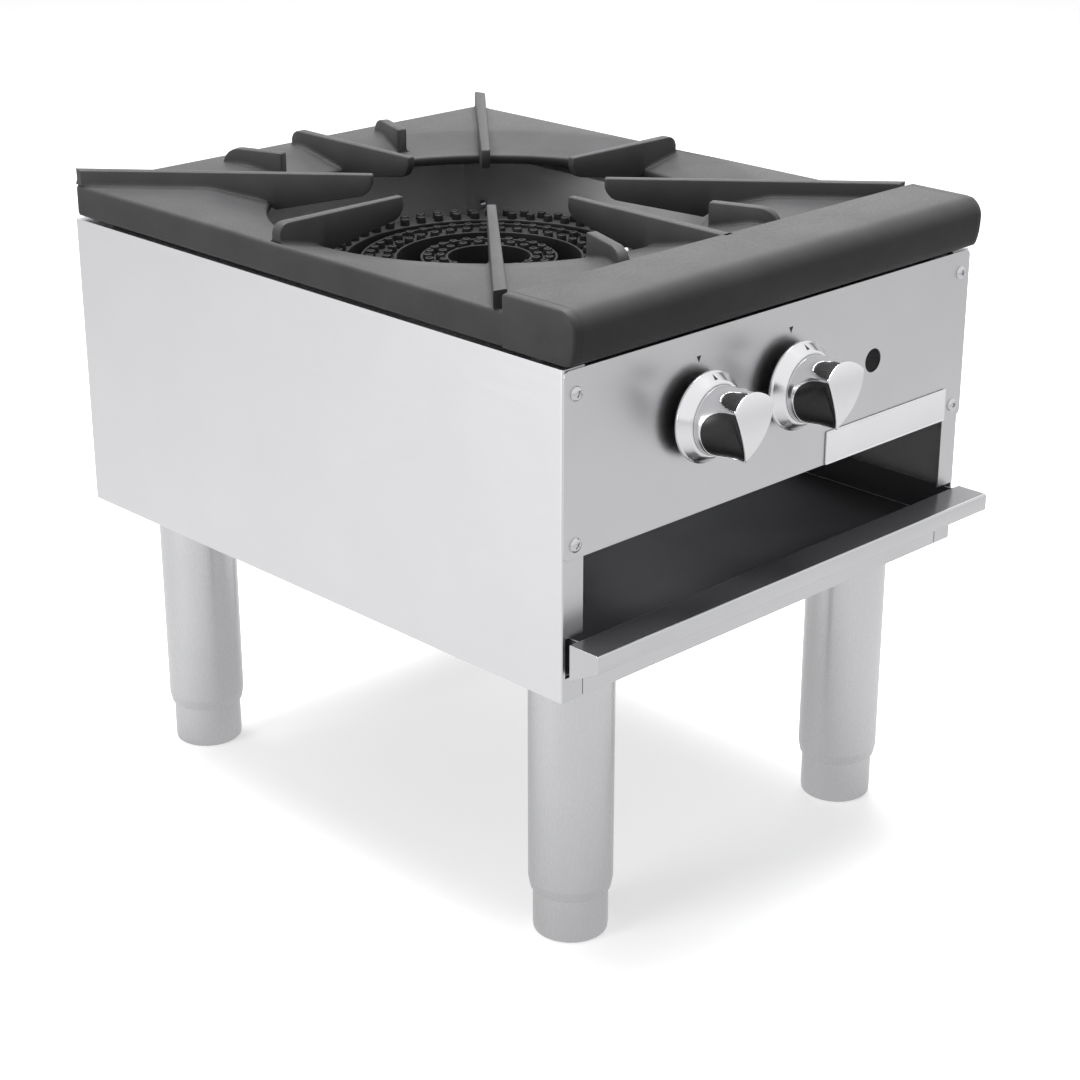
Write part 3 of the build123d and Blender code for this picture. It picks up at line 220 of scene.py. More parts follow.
@dataclass(frozen=True)
class StainlessSheet:
    """Rolled stainless steel ground with a belt: soft streaks along the grain under a cloudy gloss."""

    name: str
    tone: str
    shade: str
    gloss_low: float
    gloss_high: float
    grain: Grain
    line_mm: float  # drawn coarser than the real 0.2 mm belt lines, which would not show
    depth_mm: float = 0.004
    metal: float = 1.0  # below 1 on the heat-stained liners, and on the tray's pan and bends, where the matt share goes with their painted shade and painted highlights
    cloud_mm: float = 70.0

    def material(self) -> bpy.types.Material:
        """Builds the finish."""
        material, tree = start_material(self.name)
        lines = speckle(tree, self.line_mm, self.grain, 2.0)
        clouds = speckle(tree, self.cloud_mm, Grain.NONE, 2.0)
        close_material(tree, {
            "Base Color": blend_colours(tree, clouds, self.tone, self.shade),
            "Metallic": self.metal,
            "Roughness": spread(tree, lines, self.gloss_low, self.gloss_high),
        }, lines, self.depth_mm)
        return material


@dataclass(frozen=True)
class CastIron:
    """Sand-cast iron with a baked black seasoning: fine grainy skin, satin, greyer where it was rubbed."""

    name: str
    tone: str = "#3C3C3D"
    worn: str = "#444445"
    gloss_low: float = 0.42
    gloss_high: float = 0.56
    grain_mm: float = 1.6
    depth_mm: float = 0.05
    patch_mm: float = 45.0
    shine: float = 0.15  # the seasoning is matt and swallows most of the gloss

    def material(self) -> bpy.types.Material:
        """Builds the finish."""
        material, tree = start_material(self.name)
        grains = speckle(tree, self.grain_mm, Grain.NONE, 4.0)
        patches = speckle(tree, self.patch_mm)
        close_material(tree, {
            "Base Color": blend_colours(tree, spread(tree, patches, 0.0, 1.0), self.tone, self.worn),
            "Roughness": spread(tree, grains, self.gloss_low, self.gloss_high),
            "Specular IOR Level": self.shine,
        }, grains, self.depth_mm)
        return material


@dataclass(frozen=True)
class BrightMetal:
    """Plated, turned or drawn metal: clear reflections with a faint cloudiness from polishing."""

    name: str
    tone: str
    gloss_low: float
    gloss_high: float
    mark_mm: float = 9.0
    depth_mm: float = 0.001

    def material(self) -> bpy.types.Material:
        """Builds the finish."""
        material, tree = start_material(self.name)
        marks = speckle(tree, self.mark_mm, Grain.NONE, 4.0)
        close_material(tree, {
            "Base Color": linear(self.tone),
            "Metallic": 1.0,
            "Roughness": spread(tree, marks, self.gloss_low, self.gloss_high),
        }, marks, self.depth_mm)
        return material


@dataclass(frozen=True)
class BlackMoulding:
    """Injection-moulded black phenolic: deep black, smooth, with a faint spark-eroded texture."""

    name: str
    tone: str = "#1B1B1C"
    gloss_low: float = 0.26
    gloss_high: float = 0.38
    grain_mm: float = 0.9
    depth_mm: float = 0.01

    def material(self) -> bpy.types.Material:
        """Builds the finish."""
        material, tree = start_material(self.name)
        grains = speckle(tree, self.grain_mm, Grain.NONE, 2.0)
        close_material(tree, {
            "Base Color": linear(self.tone),
            "Roughness": spread(tree, grains, self.gloss_low, self.gloss_high),
        }, grains, self.depth_mm)
        return material


Finish = StainlessSheet | CastIron | BrightMetal | BlackMoulding

# name, tone, shade, roughness from and to, grain, line width, relief, share of bare metal
SIDE_SHEET = StainlessSheet("side_stainless_sheet", "#DFDFE1", "#DADADC", 0.34, 0.38, Grain.ALONG_Y, 1.2,
                            0.002)
# ground stainless of the front: its tone, darker than the side sheet's, partly paints the shade of faces that
# look to the front
FRONT_SHADED_PANEL_SHEET = StainlessSheet("panel_ground_stainless", "#D0D0D2", "#C9C9CB", 0.31, 0.34, Grain.ALONG_X, 1.0,
                             0.0015)
LIP_SHEET = StainlessSheet("tray_lip_stainless", "#D0D0D2", "#C8C8CA", 0.18, 0.22, Grain.ALONG_X, 1.0, 0.001)
INNER_SHEET = StainlessSheet("heat_stained_liner", "#E0E0E0", "#CCCCCC", 0.42, 0.48, Grain.ALONG_Z, 1.2,
                             0.002, 0.3)
# the tray's pan is the lip's own steel: its darker tone is painted shade of the tray's dark inside
PAN_SHADE_SHEET = StainlessSheet("heat_stained_tray_pan", "#68686C", "#606064", 0.20, 0.24, Grain.ALONG_Y, 1.2,
                           0.001, 0.35)
LEG_TUBE = StainlessSheet("leg_ground_tube", "#D4D4D6", "#CCCCCE", 0.26, 0.28, Grain.ALONG_Z, 1.0, 0.0003)
# the tray's bends get a pale, matt tone that paints highlights along their edges
BEND_HIGHLIGHT_SHEET = StainlessSheet("tray_worn_bends", "#E2E2E4", "#D8D8DA", 0.30, 0.36, Grain.NONE, 3.0, 0.001, 0.3)
PLATE_METAL = StainlessSheet("nameplate_satin", "#F0F0F2", "#E6E6E8", 0.22, 0.28, Grain.ALONG_X, 0.9)
ZINC = StainlessSheet("zinc_plated_steel", "#A8A8AA", "#8E8E92", 0.34, 0.46, Grain.NONE, 6.0)
# name, tone, worn tone, roughness from and to, grain size, relief
GRATE_IRON = CastIron("grate_cast_iron")
BURNER_IRON = CastIron("burner_cast_iron", "#18181A", "#232324", 0.44, 0.58, 1.2, 0.06)
PIPE_LACQUER = CastIron("lacquered_pipe", "#1E1E1F", "#29292A", 0.34, 0.46, 2.4, 0.02)
# name, tone, roughness from and to, size of the polishing marks, relief
CHROME = BrightMetal("knob_chrome", "#E6E6E8", 0.18, 0.21, 9.0, 0.0005)
FACE_CHROME = BrightMetal("knob_face_satin_chrome", "#E6E6E8", 0.36, 0.38, 9.0, 0.0005)
SCREW_METAL = BrightMetal("screw_nickel", "#CFCFD2", 0.18, 0.28, 3.0)
BRASS = BrightMetal("machined_brass", "#C9A25C", 0.22, 0.32, 5.0)
TUBE_METAL = BrightMetal("drawn_aluminium", "#D2D2D4", 0.26, 0.36, 4.0)
PILOT_METAL = BrightMetal("pilot_tip_aluminium", "#E2E0DA", 0.38, 0.5, 2.0)
KNOB_BLACK = BlackMoulding("knob_black_moulding")
MARK_INK = BlackMoulding("pad_printed_ink", "#141414", 0.4, 0.5)


@cache
def material_of(finish: Finish) -> bpy.types.Material:
    """Gives the one material of a finish, and builds it when first asked."""
    return finish.material()


# ---- outlines and pieces ----------------------------------------------------------------------


def rounded(corners: list[Corner], steps: int = 4) -> list[Flat]:
    """Rounds the corners of a closed outline.

    Args:
        corners: points (a, b, radius); a radius of 0 keeps the corner sharp.
        steps: spans in each rounding.

    Returns:
        The outline's points.
    """
    outline: list[Flat] = []
    for i, (a, b, radius) in enumerate(corners):
        here = Vector((a, b))
        before = Vector(corners[i - 1][:2]) - here
        after = Vector(corners[(i + 1) % len(corners)][:2]) - here
        if radius <= 0 or before.length < 1e-9 or after.length < 1e-9:
            outline.append((a, b))
            continue
        reach = min(radius / math.tan(before.angle(after) / 2), before.length * 0.49, after.length * 0.49)
        start = here + before.normalized() * reach
        end = here + after.normalized() * reach
        for k in range(steps + 1):
            t = k / steps
            spot = start * (1 - t) ** 2 + here * 2 * t * (1 - t) + end * t**2
            outline.append((spot.x, spot.y))
    return outline


def between(first: tuple[float, ...], second: tuple[float, ...], share: float) -> tuple[float, ...]:
    """The point a share of the way from the first to the second."""
    return tuple(a + (b - a) * share for a, b in zip(first, second))


def placed(radius: float, along: float, angle: float, turn: Turn, centre: Point) -> Point:
    """A point on a turned piece.

    Args:
        radius: distance from the axis.
        along: distance along the axis from the centre.
        angle: turn round the axis in radians.
        turn: the axis; FRONT counts towards the user.
        centre: the axis's point where along is 0.

    Returns:
        The point in millimetres.
    """
    a, b = radius * math.cos(angle), radius * math.sin(angle)
    if turn is Turn.UP:
        return (centre[0] + a, centre[1] + b, centre[2] + along)
    return (centre[0] + a, centre[1] - along, centre[2] + b)


class Draft:
    """Points and faces of one piece in millimetres, before they become a mesh."""

    def __init__(self) -> None:
        """Starts an empty draft."""
        self.points: list[Point] = []
        self.faces: list[tuple[int, ...]] = []

    def skin(self, rings: list[list[Point]], looped: bool = False, caps: bool = True) -> None:
        """Joins closed rings of equal length with quads.

        Args:
            rings: the rings, in order.
            looped: whether the last ring joins the first.
            caps: whether the two ends are closed.
        """
        start, count = len(self.points), len(rings[0])
        for ring in rings:
            self.points.extend(ring)
        for i in range(len(rings) if looped else len(rings) - 1):
            here, there = start + i * count, start + (i + 1) % len(rings) * count
            for j in range(count):
                k = (j + 1) % count
                self.faces.append((here + j, here + k, there + k, there + j))
        if caps and not looped:
            last = start + (len(rings) - 1) * count
            self.faces.append(tuple(range(start, start + count)))
            self.faces.append(tuple(reversed(range(last, last + count))))

    def turned(self, outline: list[Flat], centre: Point, turn: Turn, steps: int) -> None:
        """Turns a closed outline (radius, along) round an axis."""
        turns = [math.tau * k / steps for k in range(steps)]
        self.skin([[placed(r, s, angle, turn, centre) for r, s in outline] for angle in turns], looped=True)

    def block(self, low: Point, high: Point) -> None:
        """Adds a block between two corners."""
        outline = [(low[1], low[2]), (high[1], low[2]), (high[1], high[2]), (low[1], high[2])]
        self.skin([[(x, y, z) for y, z in outline] for x in (low[0], high[0])])

    def bring_forward(self, centre: Point) -> None:
        """Moves points given as (x, depth, z) from an axis that faces the user to their place."""
        self.points = [(centre[0] + x, centre[1] - depth, centre[2] + z) for x, depth, z in self.points]

    def mesh(self, name: str) -> Mesh:
        """Makes the mesh in metres, with doubles merged and faces outwards.

        Args:
            name: the mesh's name.

        Returns:
            The mesh.
        """
        mesh = bpy.data.meshes.new(name)
        mesh.from_pydata([(x * MM, y * MM, z * MM) for x, y, z in self.points], [], self.faces)
        tidy = bmesh.new()
        tidy.from_mesh(mesh)
        bmesh.ops.remove_doubles(tidy, verts=tidy.verts, dist=1e-6)
        bmesh.ops.dissolve_degenerate(tidy, edges=tidy.edges, dist=1e-7)
        bmesh.ops.recalc_face_normals(tidy, faces=tidy.faces)
        tidy.to_mesh(mesh)
        tidy.free()
        return mesh

    def show(self, name: str, finish: Finish, sharp: float = 32.0) -> Piece:
        """Makes the mesh and links it as an object with its finish."""
        return show(self.mesh(name), name, finish, sharp)


def show(mesh: Mesh, name: str, finish: Finish, sharp: float = 32.0) -> Piece:
    """Links a mesh as an object with its finish.

    Args:
        mesh: the mesh in metres.
        name: the object's name.
        finish: what it is made of.
        sharp: the angle in degrees up to which edges are shaded smooth.

    Returns:
        The object.
    """
    piece = bpy.data.objects.new(name, mesh)
    bpy.context.scene.collection.objects.link(piece)
    mesh.materials.clear()
    mesh.materials.append(material_of(finish))
    mesh.shade_smooth()
    mesh.set_sharp_from_angle(angle=math.radians(sharp))
    return piece


def also(piece: Piece, finish: Finish, chosen: Callable[[bpy.types.MeshPolygon], bool]) -> None:
    """Gives some faces of a piece another finish.

    Args:
        piece: the object.
        finish: the other finish.
        chosen: tells which faces get it.
    """
    piece.data.materials.append(material_of(finish))
    for face in piece.data.polygons:
        if chosen(face):
            face.material_index = len(piece.data.materials) - 1


def settle(piece: Piece, body: str, *nodes: str) -> None:
    """Rides a piece on its body and reports it.

    Args:
        piece: the object.
        body: the body that it moves with.
        nodes: the frame nodes that it replaces.
    """
    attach(piece, body)
    if nodes:
        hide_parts(*nodes)
    log.info("%s: %d points", piece.name, len(piece.data.vertices))


def soften(piece: Piece, width_mm: float, spans: int = 2) -> bpy.types.Modifier:
    """Breaks the sharp edges of a piece.

    Args:
        piece: the object.
        width_mm: the rounding's width.
        spans: faces across the rounding.

    Returns:
        The modifier.
    """
    edge = piece.modifiers.new("edge_break", "BEVEL")
    edge.width = width_mm * MM
    edge.segments = spans
    edge.limit_method = "ANGLE"
    edge.angle_limit = math.radians(40)
    edge.harden_normals = True
    return edge


def frame_copy(node: str) -> Mesh:
    """Copies a frame node's mesh, with its triangles joined into whole faces.

    Args:
        node: the frame node.

    Returns:
        The new mesh.
    """
    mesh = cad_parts[node].data.copy()
    tidy = bmesh.new()
    tidy.from_mesh(mesh)
    bmesh.ops.remove_doubles(tidy, verts=tidy.verts, dist=2e-6)
    bmesh.ops.dissolve_limit(tidy, angle_limit=math.radians(0.4), verts=tidy.verts, edges=tidy.edges)
    tidy.to_mesh(mesh)
    tidy.free()
    return mesh


def finished_copy(node: str, body: str, finish: Finish, edge_mm: float = 0.0) -> None:
    """Replaces a frame node by its own shape with smooth curved faces.

    Args:
        node: the frame node.
        body: the body that it moves with.
        finish: what it is made of.
        edge_mm: how far its edges are broken, 0 for not at all.
    """
    piece = show(frame_copy(node), f"{node}_finished", finish)
    if edge_mm > 0:
        soften(piece, edge_mm)
    settle(piece, body, node)


def dress(finish: Finish, *nodes: str) -> None:
    """Gives frame nodes that keep their shape a finish.

    Args:
        finish: what they are made of.
        nodes: the frame nodes.
    """
    for node in nodes:
        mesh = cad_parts[node].data
        mesh.materials.clear()
        mesh.materials.append(material_of(finish))
        log.info("%s: %s", node, finish.name)


def evaluated_mesh(piece: Piece) -> Mesh:
    """Makes a plain mesh of an object with its modifiers applied."""
    graph = bpy.context.evaluated_depsgraph_get()
    return bpy.data.meshes.new_from_object(piece.evaluated_get(graph), depsgraph=graph)


# ---- patterns of repeated pieces --------------------------------------------------------------


class Pattern:
    """Node trees that set out copies of a small piece."""

    def __init__(self) -> None:
        """Builds both trees once."""
        self.set_out = self._set_out()
        self.port_row = self._port_row()

    @staticmethod
    def _start(name: str, **sockets: str) -> tuple[Tree, Node]:
        """Makes a tree with named inputs.

        Args:
            name: the tree's name.
            sockets: the kind of each input, by its name.

        Returns:
            The tree and its input node.
        """
        tree = bpy.data.node_groups.new(name, "GeometryNodeTree")
        for label, kind in {"Geometry": "Geometry", **sockets}.items():
            tree.interface.new_socket(label, in_out="INPUT", socket_type=f"NodeSocket{kind}")
        tree.interface.new_socket("Geometry", in_out="OUTPUT", socket_type="NodeSocketGeometry")
        return tree, add_node(tree, "NodeGroupInput")

    @staticmethod
    def _copies(tree: Tree, given: Node, **inputs: Socket) -> Socket:
        """Copies the tree's piece to points as real geometry.

        Args:
            tree: the tree.
            given: its input node.
            inputs: the points and, where they turn, their rotation.

        Returns:
            The copies.
        """
        piece = add_node(tree, "GeometryNodeObjectInfo", {"Object": given.outputs["Piece"]})
        inputs["Instance"] = piece.outputs["Geometry"]
        copies = add_node(tree, "GeometryNodeInstanceOnPoints", inputs)
        return add_node(tree, "GeometryNodeRealizeInstances", {"Geometry": copies.outputs[0]}).outputs[0]

    @staticmethod
    def _end(tree: Tree, given: Node, geometry: Socket) -> Tree:
        """Dresses the geometry and sends it out of the tree.

        Args:
            tree: the tree.
            given: its input node.
            geometry: what the tree made.

        Returns:
            The tree.
        """
        dressed = add_node(tree, "GeometryNodeSetMaterial", {"Geometry": geometry,
                                                             "Material": given.outputs["Finish"]})
        add_node(tree, "NodeGroupOutput", {"Geometry": dressed.outputs[0]})
        return tree

    def _set_out(self) -> Tree:
        """Builds the tree that copies the piece to each point, each turned by its own fixed angle."""
        tree, given = self._start("set_out", Piece="Object", Axis="Vector", Turn="Float", Finish="Material")
        chance = add_node(tree, "FunctionNodeRandomValue", {"Seed": 7, 2: 0.0, 3: 1.0}, data_type="FLOAT")
        angle = add_node(tree, "ShaderNodeMath", {0: chance.outputs[1], 1: given.outputs["Turn"]},
                         operation="MULTIPLY")
        spin = add_node(tree, "FunctionNodeAxisAngleToRotation", {"Axis": given.outputs["Axis"],
                                                                  "Angle": angle.outputs[0]})
        copies = self._copies(tree, given, Points=given.outputs["Geometry"], Rotation=spin.outputs[0])
        return self._end(tree, given, copies)

    def _port_row(self) -> Tree:
        """Builds the tree that adds a circle of copies of the piece to the mesh that comes in."""
        tree, given = self._start("port_row", Piece="Object", Count="Int", Radius="Float", Centre="Vector",
                                  Finish="Material")
        circle = add_node(tree, "GeometryNodeMeshCircle", {"Vertices": given.outputs["Count"],
                                                           "Radius": given.outputs["Radius"]})
        moved = add_node(tree, "GeometryNodeTransform", {"Geometry": circle.outputs[0],
                                                         "Translation": given.outputs["Centre"]})
        joined = add_node(tree, "GeometryNodeJoinGeometry")
        tree.links.new(given.outputs["Geometry"], joined.inputs[0])
        tree.links.new(self._copies(tree, given, Points=moved.outputs[0]), joined.inputs[0])
        return self._end(tree, given, joined.outputs[0])

    @staticmethod
    def attach(piece: Piece, tree: Tree, values: dict) -> None:
        """Adds a tree to an object.

        Args:
            piece: the object.
            tree: the tree.
            values: the tree's inputs by name, which are set by the sockets' identifiers.
        """
        modifier = piece.modifiers.new(tree.name, "NODES")
        modifier.node_group = tree
        for item in tree.interface.items_tree:
            if item.item_type == "SOCKET" and item.in_out == "INPUT" and item.name in values:
                modifier[item.identifier] = values[item.name]

    @staticmethod
    def plain(piece: Piece, helper: Piece, finish: Finish, sharp: float = 32.0) -> Piece:
        """Turns an object with trees into a plain one, and removes it and the small piece.

        Args:
            piece: the object that carries the trees.
            helper: the small piece that was copied.
            finish: what the copies are made of.
            sharp: the angle in degrees up to which edges are shaded smooth.

        Returns:
            The plain object.
        """
        mesh, name = evaluated_mesh(piece), piece.name
        bpy.data.objects.remove(piece)
        bpy.data.objects.remove(helper)
        return show(mesh, name, finish, sharp)

    def at_points(self, name: str, places: list[Point], helper: Piece, axis: Point, turn: float,
                  finish: Finish) -> Piece:
        """Sets out copies of a small piece.

        Args:
            name: the name of the new piece.
            places: where each copy goes, in millimetres.
            helper: the small piece, made at the origin; it is removed.
            axis: what each copy turns round.
            turn: the largest turn in radians.
            finish: the finish of the copies.

        Returns:
            The plain mesh object of all copies.
        """
        spots = bpy.data.meshes.new(name)
        spots.from_pydata([(x * MM, y * MM, z * MM) for x, y, z in places], [], [])
        carrier = bpy.data.objects.new(name, spots)
        bpy.context.scene.collection.objects.link(carrier)
        self.attach(carrier, self.set_out, {"Piece": helper, "Axis": axis, "Turn": turn,
                                            "Finish": material_of(finish)})
        return self.plain(carrier, helper, finish)


# ---- cabinet ----------------------------------------------------------------------------------


@dataclass
class Cabinet:
    """Folded side panels, back panel, base channels, runners, heat liners and their fasteners."""

    pattern: Pattern
    edge_break: float = 0.35
    inner_face: float = 225.0
    shank: Flat = (2.2, 8.0)  # radius and length
    head_radius: float = 5.5
    head_height: float = 2.8
    head_rim: float = 0.7
    back_face: float = 288.0
    back_screws: tuple[float, ...] = (220.0, 270.0, 360.0, 453.0)  # x, then each height
    panel_screws: tuple[float, ...] = (217.0, 352.5, 463.5)

    def build(self) -> None:
        """Builds and dresses every piece."""
        for side, outwards in (("left", -1), ("right", 1)):
            self.side_panel(f"{side}_side_panel", outwards)
        finished_copy("back_panel", "chassis", SIDE_SHEET)
        for place in ("front", "rear"):
            finished_copy(f"base_{place}_channel", "chassis", LIP_SHEET, self.edge_break)
        dress(INNER_SHEET, "left_tray_runner", "right_tray_runner", "left_liner", "right_liner", "rear_liner",
              "front_liner")
        dress(SCREW_METAL, "liner_clips")
        self.screws("panel_screws", self.panel_screws, -PANEL_FACE, -1)
        self.screws("back_panel_screws", self.back_screws, self.back_face, 1)

    def side_panel(self, node: str, outwards: int) -> None:
        """Makes a side panel: ground outside, heat-stained inside, its front return in the control panel's
        darker tone as painted shade of front faces.

        Args:
            node: the frame node.
            outwards: -1 for the left panel, 1 for the right one.
        """
        piece = show(frame_copy(node), f"{node}_finished", SIDE_SHEET)
        also(piece, INNER_SHEET,
             lambda face: face.normal.x * outwards < -0.9 and abs(face.center.x) / MM > self.inner_face)
        # faces that look to the front get the darker front tone: painted shade
        also(piece, FRONT_SHADED_PANEL_SHEET, lambda face: face.normal.y < -0.9)
        soften(piece, self.edge_break)
        settle(piece, "chassis", node)

    def screws(self, node: str, spots: tuple[float, ...], seat: float, facing: int) -> None:
        """Makes the pan-head screws of one panel.

        Args:
            node: the frame node that they replace.
            spots: how far they are left and right of the middle, then each height.
            seat: the y of the face that the heads lie on.
            facing: -1 for heads towards the user, 1 for heads to the rear.
        """
        helper = self.screw(node)
        if facing > 0:
            helper.data.transform(Euler((0, 0, math.pi)).to_matrix().to_4x4())
        places = [(side * spots[0], seat, z) for side in (-1, 1) for z in spots[1:]]
        piece = self.pattern.at_points(f"{node}_set", places, helper, (0, 1, 0), math.tau, SCREW_METAL)
        settle(piece, "chassis", node)

    def screw(self, node: str) -> Piece:
        """Makes one pan-head screw at the origin, facing the user, with its cross recess cut out.

        Args:
            node: the frame node that its name comes from.

        Returns:
            The screw.
        """
        radius, height, rim, (shank, length) = self.head_radius, self.head_height, self.head_rim, self.shank
        dome, drawn_in, spans = 2.0, 1.6, 6
        outline = [(0.0, -length), (shank, -length), (shank, -0.05), (radius, -0.05), (radius, rim)]
        for k in range(1, spans + 1):
            angle = math.radians(90 * k / spans)
            outline.append((radius - dome + dome * math.cos(angle) - drawn_in * k / spans,
                            rim + (height - 0.9) * math.sin(angle)))
        head = Draft()
        head.turned(outline + [(0.0, height)], (0, 0, 0), Turn.FRONT, 32)
        screw = head.show(f"{node}_head", SCREW_METAL)
        cross = Draft()
        for turned in (45, 135):
            ca, sa = math.cos(math.radians(turned)), math.sin(math.radians(turned))
            cross.skin([[(ca * a - sa * b, -depth, sa * a + ca * b)
                         for a, b in ((-long, -wide), (long, -wide), (long, wide), (-long, wide))]
                        for depth, long, wide in ((height + 1.0, 3.0, 0.75), (height - 1.5, 1.9, 0.5))])
        blade = cross.show(f"{node}_recess", SCREW_METAL)
        cut = screw.modifiers.new("recess", "BOOLEAN")
        cut.operation = "DIFFERENCE"
        cut.object = blade
        cut.use_self = True
        mesh = evaluated_mesh(screw)
        screw.modifiers.clear()
        screw.data = mesh
        bpy.data.objects.remove(blade)
        return screw


# ---- control panel ----------------------------------------------------------------------------


@dataclass
class ControlPanel:
    """Front sheet with stem holes and a lighting hole, bare nameplate and printed marks."""

    edge_break: float = 0.3
    mark_z: float = 460.5
    mark_size: float = 2.3
    # inset, how far forward, corner radius: back edge, shadow line, rim, then the recessed field
    plate_steps: ClassVar[list[Point]] = [
        (0.9, -0.02, 0.7), (0.9, 0.55, 0.7), (0.0, 0.6, 1.0), (0.0, 1.5, 1.0), (0.3, 1.8, 0.9),
        (1.0, 1.8, 0.7), (1.4, 1.35, 0.6), (1.6, 1.3, 0.6)]

    def build(self) -> None:
        """Builds and dresses every piece."""
        # the control panel's darker tone is partly painted shade of the front
        finished_copy("control_panel", "chassis", FRONT_SHADED_PANEL_SHEET, self.edge_break)
        self.nameplate()
        for side, x in KNOB_X.items():
            mark, a = Draft(), self.mark_size
            outline = [(x - a, self.mark_z + a), (x + a, self.mark_z + a), (x, self.mark_z - a * 1.1)]
            mark.skin([[(u, y, v) for u, v in outline] for y in (-PANEL_FACE + 0.02, -PANEL_FACE - 0.12)])
            settle(mark.show(f"{side}_panel_mark", MARK_INK), "chassis")

    def nameplate(self) -> None:
        """Makes a plain plate with a raised rim and a soft brushed field, left bare."""
        low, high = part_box("nameplate")
        x0, x1, z0, z1 = low.x / MM, high.x / MM, low.z / MM, high.z / MM
        rings = []
        for inset, forward, radius in self.plate_steps:
            corners = [(x0 + inset, z0 + inset, radius), (x1 - inset, z0 + inset, radius),
                       (x1 - inset, z1 - inset, radius), (x0 + inset, z1 - inset, radius)]
            rings.append([(a, -PANEL_FACE - forward, b) for a, b in rounded(corners, 3)])
        plate = Draft()
        plate.skin(rings)
        settle(plate.show("nameplate_blank", PLATE_METAL), "chassis", "nameplate")


# ---- knobs ------------------------------------------------------------------------------------


@dataclass
class Knob:
    """One control knob: back disc, chrome dial, chrome shell with four windows and a black core."""

    side: str
    hub_radius: float = 26.0
    arc_radius: float = 27.6
    tip_radius: float = 25.7
    corner_angle: float = 41.0
    flank_bulge: float = 2.2
    grip_start: float = 24.0
    grip_full: float = 50.0
    crown_radius: float = 61.0
    crown_rise: float = 4.8
    crown_centre: float = -5.8
    shell: float = 0.9
    core_step: float = 17.6
    around: int = 180
    rows: int = 30
    levels: int = 40
    # radius, depth and rounding of the turned pieces
    disc: ClassVar[list[Corner]] = [(3.55, 5.5, 0), (30.5, 5.5, 0.8), (32.0, 6.6, 0.5), (32.0, 8.95, 0.3),
                                    (3.55, 8.95, 0)]
    dial: ClassVar[list[Corner]] = [
        (20.0, 9.0, 0), (33.9, 9.0, 0.4), (34.5, 9.7, 0.4), (34.5, 11.0, 0.9), (33.2, 12.3, 0.9),
        (28.6, 18.6, 3.0), (27.4, 19.7, 0.5), (26.3, 19.7, 0.3), (26.2, 18.9, 0.2), (20.0, 18.9, 0)]
    # inset and rise of the rings from the face's edge to its middle
    face_rings: ClassVar[list[Flat]] = [(0.16, 0.55), (0.5, 0.82), (1.1, 0.9), (4.0, 0.9), (9.0, 0.9),
                                        (15.0, 0.9), (20.0, 0.9)]
    # share, angle, half sizes and roundness of the lower and the upper window
    windows: ClassVar[list[tuple[float, ...]]] = [(1.2, -25.0, 1.16, 64.0, 3.4), (1.2, 64.0, 0.84, 21.0, 2.6)]

    @property
    def centre(self) -> Point:
        """The knob's axis at the panel's face."""
        return (KNOB_X[self.side], -PANEL_FACE, KNOB_Z)

    @property
    def body(self) -> str:
        """The body that the knob turns with."""
        return f"knob_{self.side}"

    def build(self) -> None:
        """Builds and dresses every piece."""
        self.turned_piece(self.disc, 3, 96, "back_disc", KNOB_BLACK, "back")
        self.turned_piece(self.dial, 5, 128, "dial", CHROME, "skirt")
        self.chrome_shell()
        self.black_core()
        self.pointer()
        dress(BRASS, f"valve_stem_{self.side}")

    def turned_piece(self, corners: list[Corner], spans: int, steps: int, name: str, finish: Finish,
                     node: str) -> None:
        """Makes a turned piece of the knob.

        Args:
            corners: radius, depth and rounding of the outline.
            spans: spans in each rounding.
            steps: spans round the axis.
            name: the end of the piece's name.
            finish: what it is made of.
            node: the end of the name of the frame node that it replaces.
        """
        draft = Draft()
        draft.turned(rounded(corners, spans), self.centre, Turn.FRONT, steps)
        settle(draft.show(f"{self.body}_{name}", finish), self.body, f"{self.body}_{node}")

    def section(self, share: float, inset: float) -> list[Flat]:
        """The grip's outline between round and pointed.

        Args:
            share: 0 at the collar, 1 where the outline is full.
            inset: how far inside the outline the points lie.

        Returns:
            Points from the right corner over the top to the left corner and down to the tip.
        """
        corner = math.radians(self.corner_angle)
        flank = math.radians((self.corner_angle - 90) / 2)
        arc, tip, hub = self.arc_radius - inset, self.tip_radius - inset * 1.6, self.hub_radius - inset
        right = (arc * math.cos(corner), arc * math.sin(corner))
        chord = (right[0], right[1] + tip)
        reach = chord[0] * tip / (chord[1] * math.cos(flank) - chord[0] * math.sin(flank)) + self.flank_bulge
        middle = (reach * math.cos(flank), reach * math.sin(flank))
        spans = [(corner, math.pi - corner), (math.pi - corner, 1.5 * math.pi), (-0.5 * math.pi, corner)]
        count = self.around // len(spans)
        outline: list[Flat] = []
        for which, (low, high) in enumerate(spans):
            for k in range(count):
                t = k / count
                angle = low + (high - low) * t
                plain = (hub * math.cos(angle), hub * math.sin(angle))
                full = (arc * math.cos(angle), arc * math.sin(angle))
                if which > 0:
                    full = self._flank(t, right, middle, tip, which == 1)
                outline.append(between(plain, full, share))
        return outline

    @staticmethod
    def _flank(t: float, corner: Flat, middle: Flat, tip: float, left: bool) -> Flat:
        """A point on the bulged flank.

        Args:
            t: 0 where the flank starts, 1 where it ends.
            corner: the grip's upper right corner.
            middle: the point of the right flank that bulges most.
            tip: how far the tip lies below the axis.
            left: whether it is the left flank, which runs down to the tip, or the right one up from it.

        Returns:
            The point.
        """
        share = t if left else 1 - t
        a, b, c = Vector(corner), Vector(middle), Vector((0.0, -tip))
        bend = b * 2 - (a + c) / 2
        spot = a * (1 - share) ** 2 + bend * 2 * share * (1 - share) + c * share**2
        return (-spot.x if left else spot.x, spot.y)

